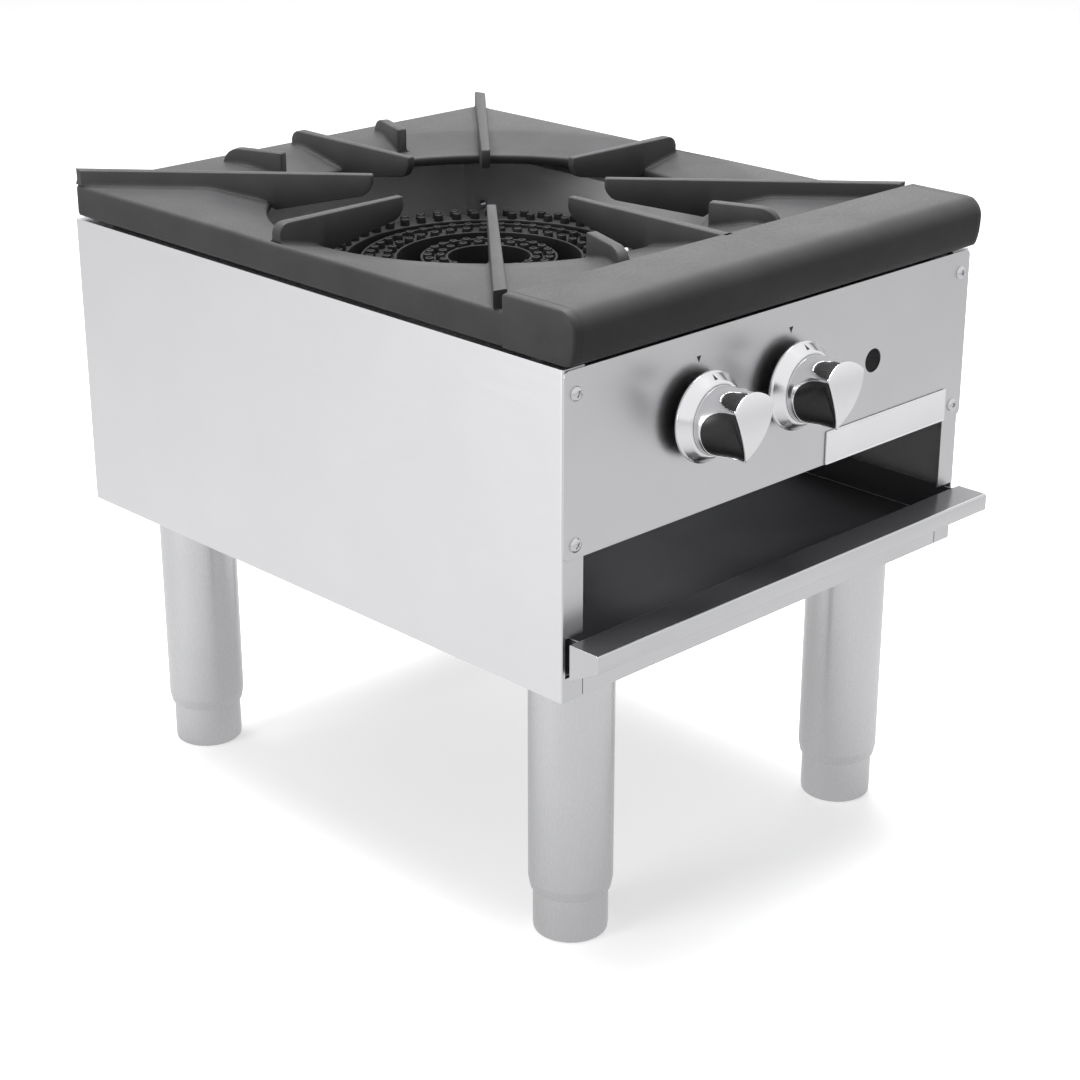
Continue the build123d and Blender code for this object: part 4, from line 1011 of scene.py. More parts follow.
    def face_level(self, z: float, inset: float = 0.0) -> float:
        """How far forward the crowned face lies at a height."""
        reach = self.crown_radius - inset
        return self.crown_centre + math.sqrt(max(reach**2 - (z - self.crown_rise) ** 2, 0.0))

    def grip_share(self, depth: float) -> float:
        """How far the outline has turned from round to pointed at a depth."""
        return min(max((depth - self.grip_start) / (self.grip_full - self.grip_start), 0.0), 1.0)

    def walls(self, inset: float, stop_short: float) -> list[list[Point]]:
        """The grip's side, from the collar to the face's edge.

        Args:
            inset: how far inside the outline it lies.
            stop_short: how far behind the face it ends.

        Returns:
            Rows of points (x, depth, z), one row for each depth.
        """
        sections = [self.section(k / self.levels, inset) for k in range(self.levels + 1)]
        ends = []
        for j in range(self.around):
            depth = self.grip_full
            for _ in range(6):
                depth = self.face_level(sections[round(self.grip_share(depth) * self.levels)][j][1], inset)
            ends.append(depth - stop_short)
        rows = []
        for k in range(self.rows + 1):
            row = []
            for j, end in enumerate(ends):
                depth = self.grip_start + (end - self.grip_start) * k / self.rows
                level = self.grip_share(depth) * self.levels
                low = min(int(level), self.levels - 1)
                x, z = between(sections[low][j], sections[low + 1][j], level - low)
                row.append((x, depth, z))
            rows.append(row)
        return rows

    def window(self, x: float, z: float, share: float) -> float:
        """Tells chrome from window on the grip's side.

        Args:
            x: sideways from the axis.
            z: up from the axis.
            share: 0 at the collar, 1 at the face's edge.

        Returns:
            Negative inside a window.
        """
        angle = math.degrees(math.atan2(z, abs(x)))
        return min(abs((share - at) / wide) ** power + abs((angle - turn) / high) ** power - 1
                   for at, turn, wide, high, power in self.windows)

    def chrome_shell(self) -> None:
        """Makes the chrome shell with its windows and its crowned satin face."""
        steps = self.around
        hub = self.section(0.0, 0.0)
        rows = [[(x * radius / self.hub_radius, depth, z * radius / self.hub_radius) for x, z in hub]
                for radius, depth in ((self.hub_radius - 0.5, 17.5), (self.hub_radius, 18.0))]
        shell = Draft()
        self._clipped(shell, rows + self.walls(0.0, self.shell), len(rows))
        edge = shell.points[(len(rows) + self.rows) * steps : (len(rows) + self.rows + 1) * steps]
        caps = []
        for inset, rise in self.face_rings:
            ring = []
            for x, _, z in edge:
                scale = max(1 - inset / math.hypot(x, z), 0.02)
                ring.append((x * scale, self.face_level(z * scale) - self.shell + rise, z * scale))
            caps.append(ring)
        last = len(shell.points) + len(caps) * steps
        shell.skin([edge] + caps, caps=False)
        shell.faces.append(tuple(range(last, last + steps)))
        shell.bring_forward(self.centre)
        piece = shell.show(f"{self.body}_chrome_shell", CHROME, 40)
        face_start = self.centre[1] - self.grip_full + 4.0
        also(piece, FACE_CHROME, lambda face: face.normal.y < -0.75 and face.center.y / MM < face_start)
        wall = piece.modifiers.new("wall", "SOLIDIFY")
        wall.thickness = self.shell * MM
        wall.offset = -1.0
        settle(piece, self.body, f"{self.body}_shell")

    def black_core(self) -> None:
        """Makes the black core behind the shell's windows."""
        inner = self.walls(self.shell - 0.12, self.shell + 0.4)
        neck = 0.76
        rings = [[(x * scale, depth, z * scale) for x, _, z in inner[0]]
                 for scale, depth in ((neck, 9.2), (neck, self.core_step), (1.0, self.core_step))]
        core = Draft()
        core.skin(rings + inner)
        core.bring_forward(self.centre)
        settle(core.show(f"{self.body}_black_core", KNOB_BLACK, 40), self.body, f"{self.body}_core")

    def _clipped(self, shell: Draft, rows: list[list[Point]], solid_rows: int) -> None:
        """Skins rows of points, leaving out the windows with smooth edges.

        Args:
            shell: the draft that gets the points and faces.
            rows: the rows, from the collar forward.
            solid_rows: how many rows stay whole.
        """
        steps, base = self.around, len(shell.points)
        values = []
        for k, row in enumerate(rows):
            shell.points.extend(row)
            share = (k - solid_rows) / (len(rows) - 1 - solid_rows)
            values.extend(1.0 if k <= solid_rows else self.window(x, z, share) for x, _, z in row)
        cuts: dict[tuple[int, int], int] = {}

        def cut(a: int, b: int) -> int:
            """The point on the grid line from a to b where the window's edge crosses it."""
            key = (min(a, b), max(a, b))
            if key not in cuts:
                share = values[a] / (values[a] - values[b])
                cuts[key] = len(shell.points)
                shell.points.append(between(shell.points[base + a], shell.points[base + b], share))
            return cuts[key]

        for k in range(len(rows) - 1):
            for j in range(steps):
                here, beside = k * steps + j, k * steps + (j + 1) % steps
                cell = [here, beside, beside + steps, here + steps]
                loop: list[int] = []
                for a, b in zip(cell, cell[1:] + cell[:1]):
                    if values[a] > 0:
                        loop.append(base + a)
                    if (values[a] > 0) != (values[b] > 0):
                        loop.append(cut(a, b))
                if len(loop) > 2:
                    shell.faces.append(tuple(loop))

    def pointer(self) -> None:
        """Makes the small printed pointer on the dial's cone."""
        cx, cy, cz = self.centre
        (outer, low, _), (inner, high, _) = self.dial[4:6]
        outline = ((-1.7, 29.6), (1.7, 29.6), (0.0, 32.7))
        pointer = Draft()
        pointer.skin([[(cx + across, cy - low - (outer - radius) * (high - low) / (outer - inner) - lift,
                        cz + math.sqrt(radius**2 - across**2)) for across, radius in outline]
                      for lift in (-0.1, 0.12)])
        settle(pointer.show(f"{self.body}_pointer", MARK_INK), self.body)


# ---- top grate --------------------------------------------------------------------------------


@dataclass
class TopGrate:
    """One iron casting: sloped rim with a round opening, skirt wall, front rail and twelve ribs."""

    half_width: float = 228.5
    rear: float = 287.0
    front: float = -229.0
    bottom: float = 485.0
    rim: float = 511.0
    rib_top: float = 524.0
    opening: float = 181.0
    slope_outer: float = 230.0
    slope_drop: float = 11.0
    crease: float = 5.0
    wall: float = 8.0
    corner: float = 6.0
    rail_rear: float = -229.0
    rail_front: float = -299.0
    foot: float = 3.6
    rib_gap: float = 5.5
    rib_inner: float = 95.0
    rib_edge: float = 1.1
    # angle, reach and end of each long rib
    long_ribs: ClassVar[list[tuple[float, float, RibEnd]]] = [
        (0, 221, RibEnd.ROUNDED), (180, 221, RibEnd.ROUNDED), (90, 250, RibEnd.ROUNDED),
        (-90, 262, RibEnd.BUTTED), (48.2, 341, RibEnd.CORNER), (131.8, 341, RibEnd.CORNER),
        (-48.2, 339, RibEnd.CORNER), (-131.8, 339, RibEnd.CORNER)]
    short_ribs: ClassVar[tuple[float, ...]] = (70, 110, -70, -110)
    # where a long rib has a section, measured from the burner's axis; the second row is for long ones
    stations: ClassVar[tuple[float, ...]] = (95.0, 95.4, 96.5, 98.0, 100.5, 104.0, 125.0, 150.0, 176.0, 181.5,
                                             184.0, 190.0, 200.0, 215.0)
    outer_stations: ClassVar[tuple[float, ...]] = (226.0, 230.0, 234.0, 245.0, 300.0)

    def build(self) -> None:
        """Builds the casting as one piece."""
        casting = Draft()
        self.plate(casting)
        self.rail(casting)
        for angle, reach, end in self.long_ribs:
            self.long_rib(casting, angle, reach, end)
        for angle in self.short_ribs:
            self.short_rib(casting, angle)
        for x in (-215.5, 215.5):
            for y in (-255.0, 250.0):
                casting.block((x - 5.5, y - 5.5, 482.1), (x + 5.5, y + 5.5, 504.0))
        settle(casting.show("top_grate_casting", GRATE_IRON, 50), "grate", "top_grate")

    def reach(self, angle: float, inset: float) -> float:
        """Measures from the burner's axis to the casting's outline.

        Args:
            angle: the direction in radians.
            inset: how far inside the sides, the rear and the rear corners.

        Returns:
            The distance.
        """
        dx, dy = math.cos(angle), math.sin(angle)
        right, back = self.half_width - inset, self.rear - inset - BURNER_Y
        ahead = BURNER_Y - self.front
        tiny, far = 1e-9, 1e9
        span = min(right / abs(dx) if abs(dx) > tiny else far, back / dy if dy > tiny else far,
                   ahead / -dy if dy < -tiny else far)
        radius = max(self.corner - inset, 0.5)
        corner_x, corner_y = right - radius, back - radius
        if abs(dx) * span > corner_x and dy * span > corner_y:
            middle = corner_x * abs(dx) + corner_y * dy
            gap = corner_x**2 + corner_y**2 - radius**2
            span = middle + math.sqrt(max(middle**2 - gap, 0.0))
        return span

    def level(self, distance: float) -> float:
        """Height of the rim's top, with a soft crease where the slope starts.

        Args:
            distance: how far from the burner's axis.

        Returns:
            The height.
        """
        slope = self.slope_drop / (self.slope_outer - self.opening)
        past = self.slope_outer - distance
        if past <= -self.crease:
            return self.rim
        if past >= self.crease:
            return self.rim - past * slope
        return self.rim - slope * (past + self.crease) ** 2 / (4 * self.crease)

    def directions(self) -> list[float]:
        """The angles of the rim's sections, closer together at the four corners."""
        rear_corner = math.atan2(self.rear - BURNER_Y, self.half_width)
        front_corner = math.atan2(self.front - BURNER_Y, self.half_width)
        angles = {math.tau * k / 288 for k in range(288)}
        for middle in (rear_corner, math.pi - rear_corner):
            angles |= {middle + math.radians(0.16 * k) for k in range(-7, 8)}
        for middle in (front_corner, math.pi - front_corner):
            angles |= {(middle + math.radians(0.3 * k)) % math.tau for k in (-1, 0, 1)}
        return sorted(angles)

    def plate(self, casting: Draft) -> None:
        """Adds the sloped rim and the skirt wall.

        Args:
            casting: the draft that gets them.
        """
        opening, brink = self.opening, self.level(self.opening)
        rings = []
        for angle in self.directions():
            outline = [(opening, brink - self.wall + 1.2), (opening, brink - 1.8),
                       (opening + 0.6, brink - 0.5)]
            for distance in (opening + 2.2, 200.0, 222.0, 225.0, 227.5, 230.0, 232.5, 235.0, 238.0):
                limit = self.reach(angle, 3.4) - (238.0 - distance) * 0.02
                outline.append((min(distance, limit), self.level(min(distance, limit))))
            top = self.level(self.reach(angle, 0.0))
            for inset, drop in ((3.0, 0.05), (1.9, 0.35), (0.9, 1.0), (0.3, 2.0), (0.0, 3.2)):
                outline.append((self.reach(angle, inset), top - drop))
            for inset, rise in ((0.0, 3.0), (0.4, 1.3), (1.3, 0.3), (2.6, 0.0)):
                outline.append((self.reach(angle, inset), self.bottom + rise))
            inner = self.reach(angle, self.wall)
            under = min(self.slope_outer, inner - 0.5)
            outline += [(inner, self.bottom), (inner, min(self.rim, self.level(inner)) - self.wall),
                        (under, self.level(under) - self.wall), (opening + 1.2, brink - self.wall)]
            rings.append([(r * math.cos(angle), BURNER_Y + r * math.sin(angle), z) for r, z in outline])
        casting.skin(rings, looped=True)

    def rail(self, casting: Draft) -> None:
        """Adds the bullnose front rail, hollow below between its two closed ends.

        Args:
            casting: the draft that gets it.
        """
        front, rear, top, low = self.rail_front, self.rail_rear, self.rib_top, self.bottom
        nose = [(front + 16 - 16 * math.sin(math.radians(a)), top - 15 + 15 * math.cos(math.radians(a)))
                for a in range(0, 91, 9)]
        chin = [(front + 0.25, 503.0), (front + 0.9, 497.0), (front + 2.2, 491.0), (front + 3.6, 487.2),
                (front + 5.2, 485.3), (front + 7.0, low)]
        back = [(rear, low), (rear, 521.6), (rear - 0.5, 523.0), (rear - 1.8, 524.0)]
        hollow = [(front + 13, low), (front + 13, 512.0), (rear - 8, 512.0), (rear - 8, low)]
        for side in (-1, 1):
            rings = []
            for inward, inset in ((0.0, 2.4), (0.7, 1.0), (2.4, 0.0), (self.wall, 0.0)):
                place = side * (self.half_width - inward)
                rings.append([
                    (place, max(y, front + inset) if y > rear - 1 or z > 523 else min(y + inset, rear),
                     min(z, top - inset)) for y, z in nose + chin + back])
            casting.skin(rings)
        middle = self.half_width - self.wall + 0.5
        casting.skin([[(x, y, z) for y, z in nose + chin + hollow + back] for x in (-middle, middle)])

    def rib_ring(self, angle: float, distance: float, half: float, top: float, low: float, flare: float,
                 edge: float) -> list[Point]:
        """One cross-section of a rib.

        Args:
            angle: the rib's direction in degrees.
            distance: how far the section lies from the burner's axis.
            half: half of the rib's thickness.
            top: height of the rib's top.
            low: height of its lower edge, or of the rim that it stands on.
            flare: width of the fillet at the foot.
            edge: rounding of the top and lower edges.

        Returns:
            The section's points.
        """
        outline = [(half - edge, top), (half - 0.3 * edge, top - 0.3 * edge), (half, top - edge)]
        if flare > 0.05:
            outline += [(half, low + flare), (half + 0.12 * flare, low + 0.5 * flare),
                        (half + 0.42 * flare, low + 0.16 * flare), (half + flare, low - 0.02),
                        (half + flare, low - 2.5)]
        else:
            outline += [(half, low + edge), (half - 0.15 * edge, low + 0.5 * edge),
                        (half - 0.4 * edge, low + 0.2 * edge), (half - edge, low), (half - edge - 0.05, low)]
        outline += [(-t, z) for t, z in reversed(outline)]
        ca, sa = math.cos(math.radians(angle)), math.sin(math.radians(angle))
        return [(ca * distance - sa * t, BURNER_Y + sa * distance + ca * t, z) for t, z in outline]

    def long_rib(self, casting: Draft, angle: float, reach: float, end: RibEnd) -> None:
        """Adds a rib that carries the pot from the rim towards the burner's axis.

        Args:
            casting: the draft that gets the rib.
            angle: its direction in degrees.
            reach: how far its outer end lies from the burner's axis.
            end: how that end stops.
        """
        inner, tip_half, root_half, round_over = self.rib_inner, 3.7, 4.9, 9.0
        last = reach - round_over if end is RibEnd.ROUNDED else reach
        stations = {s for s in self.stations if s < last - 3} | {last}
        if reach > 236:
            stations |= {s for s in (*self.outer_stations, reach - 14) if s < last - 2}
        rings = []
        for distance in sorted(stations):
            half = tip_half + (root_half - tip_half) * ((distance - inner) / (reach - inner))
            tuck = {95.0: 1.1, 95.4: 0.45}.get(distance, 0.0)
            if distance < self.opening:
                curve = max(0.0, 1 - (distance - inner) / 9.0)
                fall = 15.0 * (distance - inner) / (self.opening - inner)
                low = self.rib_top - 16.5 - fall + 8.0 * curve**2
                flare = 0.0
            else:
                low = self.level(distance)
                flare = self.foot * min((distance - self.opening) / 6.0, 1.0)
                if end is RibEnd.CORNER:
                    flare *= max(0.0, min((reach - distance) / 14.0, 1.0))
            rings.append(self.rib_ring(angle, distance, half - tuck, self.rib_top - tuck, low + tuck, flare,
                                       self.rib_edge))
        if end is RibEnd.CORNER:
            rings[-1] = [self.flush(point, angle) for point in rings[-1]]
        if end is RibEnd.ROUNDED:
            for k in range(1, 7):
                turn = math.radians(15 * k)
                distance = last + round_over * math.sin(turn)
                thinner, sunk = (0.5, 1.0) if k == 6 else (0.0, 0.0)
                top = self.rib_top - round_over * (1 - math.cos(turn))
                low = self.level(min(distance, 226.0)) - sunk
                rings.append(self.rib_ring(angle, distance, root_half - thinner, top, low, self.foot * 0.9,
                                           self.rib_edge))
        casting.skin(rings)

    def flush(self, point: Point, angle: float) -> Point:
        """Slides a point along its rib to the casting's side or rear, or to just behind the rail.

        Args:
            point: the point.
            angle: the rib's direction in degrees.

        Returns:
            The moved point.
        """
        dx, dy = math.cos(math.radians(angle)), math.sin(math.radians(angle))
        side = (math.copysign(self.half_width - 0.15, dx) - point[0]) / dx
        limit = self.rear - 0.15 if dy > 0 else self.rail_rear + self.rib_gap
        along = min(side, (limit - point[1]) / dy)
        return (point[0] + dx * along, point[1] + dy * along, point[2])

    def short_rib(self, casting: Draft, angle: float) -> None:
        """Adds a short rib on the sloped rim between two long ribs.

        Args:
            casting: the draft that gets the rib.
            angle: its direction in degrees.
        """
        start, flat_end, reach, half, edge = 195.0, 237.0, 253.0, 4.5, self.rib_edge
        rings = []
        for distance, drop in ((start, 1.2), (start + 0.5, 0.4), (start + 1.6, 0.0), (210.0, 0.0),
                               (225.0, 0.0), (230.0, 0.0), (flat_end, 0.0)):
            rings.append(self.rib_ring(angle, distance, half - drop * 0.8, self.rib_top - drop,
                                       self.level(distance), self.foot, edge))
        for k in range(1, 7):
            turn = math.radians(14 * k)
            top = self.rib_top - 12.2 * (1 - math.cos(turn)) * 1.1
            distance = flat_end + (reach - flat_end) * math.sin(turn)
            rings.append(self.rib_ring(angle, distance, half, top, self.rim, self.foot * (1 - k / 7.5),
                                       min(edge, (top - self.rim) / 3 + 0.2)))
        casting.skin(rings)


# ---- burner -----------------------------------------------------------------------------------


@dataclass
class Burner:
    """Two castings with raised ports, their mixer tubes, air shutters and carrying bars."""

    pattern: Pattern
    base: float = 425.0
    rim_height: float = 3.0
    rim_width: float = 2.2
    # radius, level and rounding of a port; place across, level and rounding of a bridge
    port: ClassVar[list[Corner]] = [(1.5, -1.0, 0), (4.4, -1.0, 0), (4.2, 0.0, 0.3), (3.7, 5.2, 0.7),
                                    (2.2, 5.5, 0.3), (1.6, 4.6, 0.3)]
    bridge: ClassVar[list[Corner]] = [(-8, 427.5, 2), (8, 427.5, 2), (8, 440, 3), (-8, 440, 3)]
    # inner radius, outer radius, top and whether both edges are raised
    middle_ring: tuple[float, float, float, bool] = (76.5, 107.0, 454.0, True)
    outer_ring: tuple[float, float, float, bool] = (119.0, 140.0, 457.0, False)
    inner_ring: tuple[float, float, float, bool] = (34.0, 57.0, 454.0, True)
    # radius, number and level of the ports in each row
    outer_rows: ClassVar[list[tuple[float, int, float]]] = [(84.6, 36, 454.0), (98.9, 44, 454.0),
                                                            (124.75, 48, 457.0), (134.25, 54, 457.0)]
    inner_rows: ClassVar[list[tuple[float, int, float]]] = [(40.25, 18, 454.0), (50.75, 26, 454.0)]

    def build(self) -> None:
        """Builds and dresses every piece."""
        outer, inner = Draft(), Draft()
        self.ring(outer, *self.middle_ring)
        self.ring(outer, *self.outer_ring)
        for k in range(4):
            ca, sa = math.cos(math.radians(15 + 90 * k)), math.sin(math.radians(15 + 90 * k))
            outer.skin([[(ca * r - sa * t, BURNER_Y + sa * r + ca * t, z) for t, z in rounded(self.bridge, 3)]
                        for r in (105.0, 121.0)])
        self.casting(outer, "burner_outer_casting", "burner_outer_rings", self.outer_rows)
        self.ring(inner, *self.inner_ring)
        self.casting(inner, "burner_inner_casting", "burner_inner_ring", self.inner_rows)
        for side in ("left", "right"):
            finished_copy(f"mixer_tube_{side}", "chassis", BURNER_IRON)
            finished_copy(f"air_shutter_{side}", f"shutter_{side}", ZINC)
        finished_copy("burner_supports", "chassis", ZINC, 0.3)

    def ring(self, draft: Draft, inner: float, outer: float, top: float, rimmed: bool) -> None:
        """Adds one hollow ring to a casting.

        Args:
            draft: the casting.
            inner: its inner radius.
            outer: its outer radius.
            top: the height of the face that carries the ports.
            rimmed: whether both edges are raised.
        """
        wide, high, base = self.rim_width, top + self.rim_height, self.base
        crest = [(inner, top, 1.6), (outer, top, 1.6)]
        if rimmed:
            crest = [(inner, high, 0.8), (inner + wide, high, 0.8), (inner + wide + 0.5, top, 0.4),
                     (outer - wide - 0.5, top, 0.4), (outer - wide, high, 0.8), (outer, high, 0.8)]
        corners = [(inner + 2.5, base, 1.0), (inner, base + 4, 2.0), *crest, (outer, base + 4, 2.0),
                   (outer - 2.5, base, 1.0)]
        draft.turned(rounded(corners, 3), (0, BURNER_Y, 0), Turn.UP, 144)

    def casting(self, draft: Draft, name: str, node: str, rows: list[tuple[float, int, float]]) -> None:
        """Makes one burner casting with its rows of raised ports.

        Args:
            draft: its rings and bridges.
            name: the new piece's name.
            node: the frame node that it replaces.
            rows: radius, number and level of the ports in each row.
        """
        piece = draft.show(name, BURNER_IRON, 45)
        nub = Draft()
        nub.turned(rounded(self.port, 2), (0, 0, 0), Turn.UP, 14)
        port = nub.show("port", BURNER_IRON, 50)
        for radius, count, level in rows:
            self.pattern.attach(piece, self.pattern.port_row, {
                "Piece": port, "Count": count, "Radius": radius * MM, "Finish": material_of(BURNER_IRON),
                "Centre": (0.0, BURNER_Y * MM, level * MM)})
        settle(self.pattern.plain(piece, port, BURNER_IRON, 45), "chassis", node)


# ---- gas train --------------------------------------------------------------------------------


@dataclass
class GasTrain:
    """Manifold, supply pipe and rear inlet, valves, orifices and the pilot."""

    inlet_place: Point = (198.5, 0, 419.5)
    inlet_start: float = 274.0
    inlet_end: float = 344.7
    inlet_bore: float = 10.465
    inlet_radius: float = 13.335
    thread_length: float = 20.0
    thread_crest: float = 13.1
    thread_root: float = 12.0
    thread_pitch: float = 25.4 / 14
    thread_turns: int = 10
    pilot_place: Point = (88.0, -44.0, 0)
    pilot: ClassVar[list[Corner]] = [
        (0, 446.0, 0), (3.6, 446.0, 0.4), (3.6, 450.0, 0.3), (4.5, 450.6, 0.4), (4.5, 453.0, 0.4),
        (3.2, 453.6, 0.3), (3.2, 455.0, 0.3), (4.4, 455.6, 0.4), (4.3, 457.5, 0.6), (2.0, 460.6, 1.0),
        (0, 461.0, 0)]
    pipes: tuple[str, ...] = ("manifold_pipe", "manifold_plug", "manifold_elbow", "supply_pipe",
                              "inlet_coupling")
    valves: tuple[str, ...] = ("gas_valve_left", "gas_valve_right", "orifice_hoods", "pilot_valve")

    def build(self) -> None:
        """Dresses every piece, smooths the turned ones, and makes the inlet and the pilot's tip."""
        for node in self.pipes:
            finished_copy(node, "chassis", PIPE_LACQUER)
        self.inlet()
        dress(ZINC, "manifold_brackets")
        for node in self.valves:
            finished_copy(node, "chassis", BRASS)
        finished_copy("pilot_tube", "chassis", TUBE_METAL)
        tip = Draft()
        tip.turned(rounded(self.pilot, 3), self.pilot_place, Turn.UP, 40)
        settle(tip.show("pilot_burner_tip", PILOT_METAL), "chassis", "pilot_burner")

    def inlet(self) -> None:
        """Makes the inlet nipple with its 14 per inch pipe thread."""
        seat, bore, radius = self.inlet_end - self.thread_length, self.inlet_bore, self.inlet_radius - 0.02
        outline = [(bore, -self.inlet_start), (radius, -self.inlet_start), (radius, -seat)]
        for k in range(self.thread_turns):
            outline += [(self.thread_crest, -(seat + 0.4 + k * self.thread_pitch)),
                        (self.thread_root, -(seat + 0.4 + (k + 0.5) * self.thread_pitch))]
        outline += [(self.thread_crest - 0.2, -(self.inlet_end - 1.0)),
                    (self.thread_root - 0.4, -self.inlet_end), (bore, -self.inlet_end)]
        nipple = Draft()
        nipple.turned(outline, self.inlet_place, Turn.FRONT, 72)
        settle(nipple.show("gas_inlet_nipple_threaded", PIPE_LACQUER, 25), "chassis", "gas_inlet_nipple")


# ---- crumb tray -------------------------------------------------------------------------------


@dataclass
class CrumbTray:
    """The sliding tray: a bright folded lip in front of its pan, whose darker tone is painted shade, with
    pale bends that are painted highlights.
    """

    lip_rear: float = -295.1
    bend: float = 0.8

    def build(self) -> None:
        """Builds the tray from the frame's shape, with three finishes."""
        piece = show(frame_copy("crumb_tray"), "crumb_tray_finished", LIP_SHEET)
        # faces behind the lip get the darker pan tone, painted shade of the tray's inside
        also(piece, PAN_SHADE_SHEET, lambda face: face.center.y / MM > self.lip_rear)
        # the bevels of every bend get the pale tone: painted highlights on the edges
        also(piece, BEND_HIGHLIGHT_SHEET, lambda face: False)
        soften(piece, self.bend, 3).material = len(piece.data.materials) - 1
        settle(piece, "tray", "crumb_tray")


# ---- legs -------------------------------------------------------------------------------------


@dataclass
class Legs:
    """Four ground tubes with adjustable feet, their plates, bolts and nuts."""

    pattern: Pattern
    bolt_across: float = 38.0
    bolt_along: float = 36.0
    hexagon: float = 6.5
    bolt_radius: float = 4.0
    bolt_end: float = 244.5
    # radius, height and rounding: the tube with its rolled-in end and inner nut; the drawn cup on its stud
    tube: ClassVar[list[Corner]] = [
        (33.0, 233.0, 0), (33.0, 46.6, 3.0), (31.5, 38.4, 0.5), (31.0, 38.0, 0.3), (29.65, 38.0, 0.3),
        (29.7, 38.6, 0.3), (31.4, 46.4, 2.0), (31.4, 122.0, 0), (8.05, 122.0, 0), (8.05, 132.0, 0),
        (31.4, 132.0, 0), (31.4, 233.0, 0)]
    cup: ClassVar[list[Corner]] = [
        (0, 0, 0), (26.6, 0.0, 1.6), (29.0, 1.4, 2.2), (29.35, 6.0, 2.0), (29.35, 99.6, 0.3),
        (28.9, 100.0, 0.2), (27.75, 100.0, 0.2), (27.75, 3.2, 0), (8.0, 3.2, 0), (8.0, 140.0, 0.4),
        (0, 140.0, 0)]

    def build(self) -> None:
        """Builds and dresses every piece."""
        for corner, place in LEG_PLACES.items():
            for corners, name, body, node in (
                    (self.tube, f"leg_{corner}_tube", "chassis", f"leg_{corner}"),
                    (self.cup, f"foot_{corner}_cup", f"foot_{corner}_body", f"foot_{corner}")):
                draft = Draft()
                draft.turned(rounded(corners, 4), (*place, 0), Turn.UP, 96)
                settle(draft.show(name, LEG_TUBE), body, node)
        finished_copy("leg_mounts", "chassis", ZINC)
        self.fasteners()

    def fasteners(self) -> None:
        """Makes hexagon bolts below the base and nuts on the plates."""
        places = [(x + sx * self.bolt_across, y + sy * self.bolt_along, 0.0) for x, y in LEG_PLACES.values()
                  for sx in (-1, 1) for sy in (-1, 1)]
        turns = [math.radians(60 * k) for k in range(6)]
        outline = [(self.hexagon * math.cos(turn), self.hexagon * math.sin(turn)) for turn in turns]
        for node, low, high in (("leg_bolts", 228.5, 232.98), ("leg_nuts", 238.5, self.bolt_end)):
            part = Draft()
            part.skin([[(a * scale, b * scale, z) for a, b in outline]
                       for scale, z in ((0.9, low), (1.0, low + 0.7), (1.0, high))])
            if node == "leg_bolts":
                radius, start, end = self.bolt_radius, high - 0.5, self.bolt_end
                part.turned([(0, start), (radius, start), (radius, end), (0, end)], (0, 0, 0), Turn.UP, 24)
            helper = part.show(f"{node}_one", ZINC)
            settle(self.pattern.at_points(f"{node}_set", places, helper, (0, 0, 1), math.radians(50), ZINC),
                   "chassis", node)


# ---- studio -----------------------------------------------------------------------------------


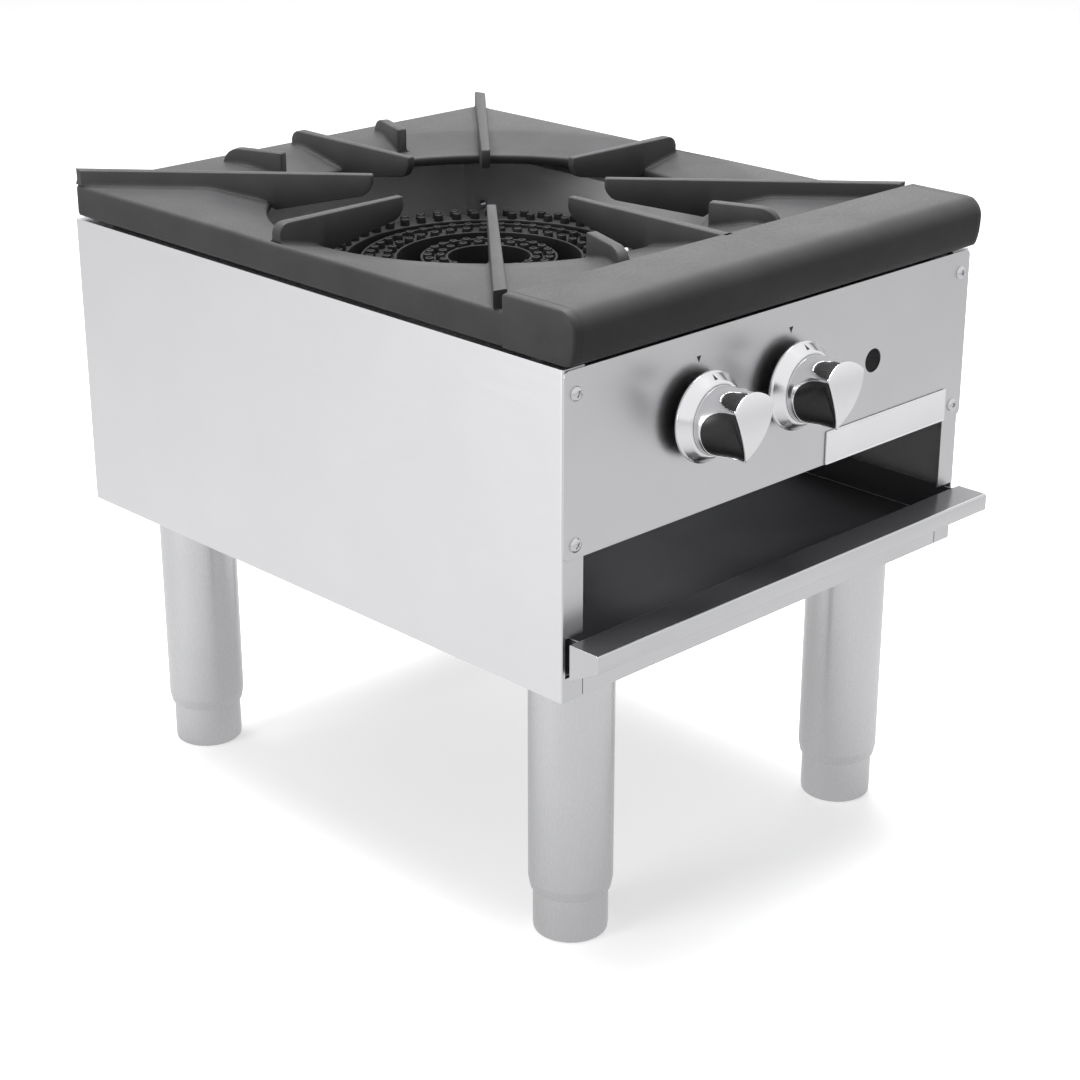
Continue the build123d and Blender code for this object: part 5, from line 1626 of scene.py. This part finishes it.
@dataclass
class Studio:
    """Pale floor, soft light and the camera."""

    camera_place: Point = (-1.300, -1.363, 0.974)
    heading: float = 44.33
    dip: float = 22.05
    lens: float = 78.9
    sensor: float = 36.0
    aim: Point = (0, 0, 0.4)
    floor_half: float = 9.0
    floor_tones: tuple[str, str] = ("#7C7C7C", "#F2F2F2")  # for the light, for the eye
    floor_glow: float = 0.45
    floor_mirrored: float = 0.55
    sky_light: float = 0.45
    white: ClassVar[tuple[float, ...]] = linear("#FFFFFF")
    # name, place and side in metres, and power in watts
    lamps: ClassVar[list[tuple[str, Point, float, float]]] = [
        ("key", (-3.4, 0.4, 0.9), 1.4, 55.0), ("top", (0.25, 0.4, 2.6), 1.8, 126.0),
        ("rim", (2.2, 1.4, 1.6), 1.4, 6.0)]

    def build(self) -> None:
        """Sets up everything that isn't the range."""
        self.floor()
        self.world()
        for name, place, size, power in self.lamps:
            self.lamp(name, place, size, power)
        self.camera()
        bpy.context.scene.view_settings.view_transform = "Standard"

    def floor(self) -> None:
        """Lays a pale floor that shows white to the camera and keeps the shadow."""
        mesh, half = bpy.data.meshes.new("floor"), self.floor_half
        corners = [(-half, -half, 0), (half, -half, 0), (half, half, 0), (-half, half, 0)]
        mesh.from_pydata(corners, [], [(0, 1, 2, 3)])
        floor = bpy.data.objects.new("floor", mesh)
        bpy.context.scene.collection.objects.link(floor)
        material, tree = start_material("pale_floor")
        path = add_node(tree, "ShaderNodeLightPath")
        seen, glossy = path.outputs["Is Camera Ray"], path.outputs["Is Glossy Ray"]
        mirrored = add_node(tree, "ShaderNodeMath", {0: glossy, 1: self.floor_mirrored}, operation="MULTIPLY")
        glow = add_node(tree, "ShaderNodeMath", {0: seen, 1: self.floor_glow, 2: mirrored.outputs[0]},
                        operation="MULTIPLY_ADD")
        tone = blend_colours(tree, seen, *self.floor_tones)
        paint = add_node(tree, "ShaderNodeBsdfDiffuse", {"Color": tone})
        light = add_node(tree, "ShaderNodeEmission", {"Color": self.white, "Strength": glow.outputs[0]})
        both = add_node(tree, "ShaderNodeAddShader", {0: paint.outputs[0], 1: light.outputs[0]})
        add_node(tree, "ShaderNodeOutputMaterial", {"Surface": both.outputs[0]})
        mesh.materials.append(material)

    def world(self) -> None:
        """Sets white surroundings for the eye and for gloss, softer for the light itself."""
        world = bpy.data.worlds.new("studio")
        bpy.context.scene.world = world
        world.use_nodes = True
        tree = world.node_tree
        tree.nodes.clear()
        path = add_node(tree, "ShaderNodeLightPath")
        seen = path.outputs["Is Camera Ray"]
        for ray in ("Is Glossy Ray", "Is Transmission Ray"):
            either = add_node(tree, "ShaderNodeMath", {0: seen, 1: path.outputs[ray]}, operation="MAXIMUM")
            seen = either.outputs[0]
        light = add_node(tree, "ShaderNodeMapRange", {"Value": seen, "To Min": self.sky_light, "To Max": 1.0})
        sky = add_node(tree, "ShaderNodeBackground", {"Color": self.white, "Strength": light.outputs[0]})
        add_node(tree, "ShaderNodeOutputWorld", {"Surface": sky.outputs[0]})

    def lamp(self, name: str, place: Point, size: float, power: float) -> None:
        """Adds a soft square lamp that faces the range.

        Args:
            name: the lamp's name.
            place: where it hangs, in metres.
            size: its side in metres.
            power: its power in watts.
        """
        light = bpy.data.lights.new(name, "AREA")
        light.shape = "SQUARE"
        light.size = size
        light.energy = power
        lamp = bpy.data.objects.new(name, light)
        bpy.context.scene.collection.objects.link(lamp)
        lamp.location = place
        lamp.rotation_euler = (Vector(self.aim) - Vector(place)).to_track_quat("-Z", "Y").to_euler()

    def camera(self) -> None:
        """Sets the photograph's view: from the front left, a little above."""
        lens = bpy.data.cameras.new("photo_view")
        lens.sensor_width = self.sensor
        lens.lens = self.lens
        view = bpy.data.objects.new("photo_view", lens)
        bpy.context.scene.collection.objects.link(view)
        view.location = self.camera_place
        view.rotation_euler = (math.radians(90 - self.dip), 0.0, math.radians(-self.heading))
        bpy.context.scene.camera = view


def main() -> None:
    """Builds the range piece by piece, then the studio."""
    logging.basicConfig(level=logging.INFO, format="%(message)s")
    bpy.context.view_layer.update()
    pattern = Pattern()
    Cabinet(pattern).build()
    ControlPanel().build()
    for side in KNOB_X:
        Knob(side).build()
    TopGrate().build()
    Burner(pattern).build()
    GasTrain().build()
    CrumbTray().build()
    Legs(pattern).build()
    Studio().build()


if __name__ == "__main__":
    main()
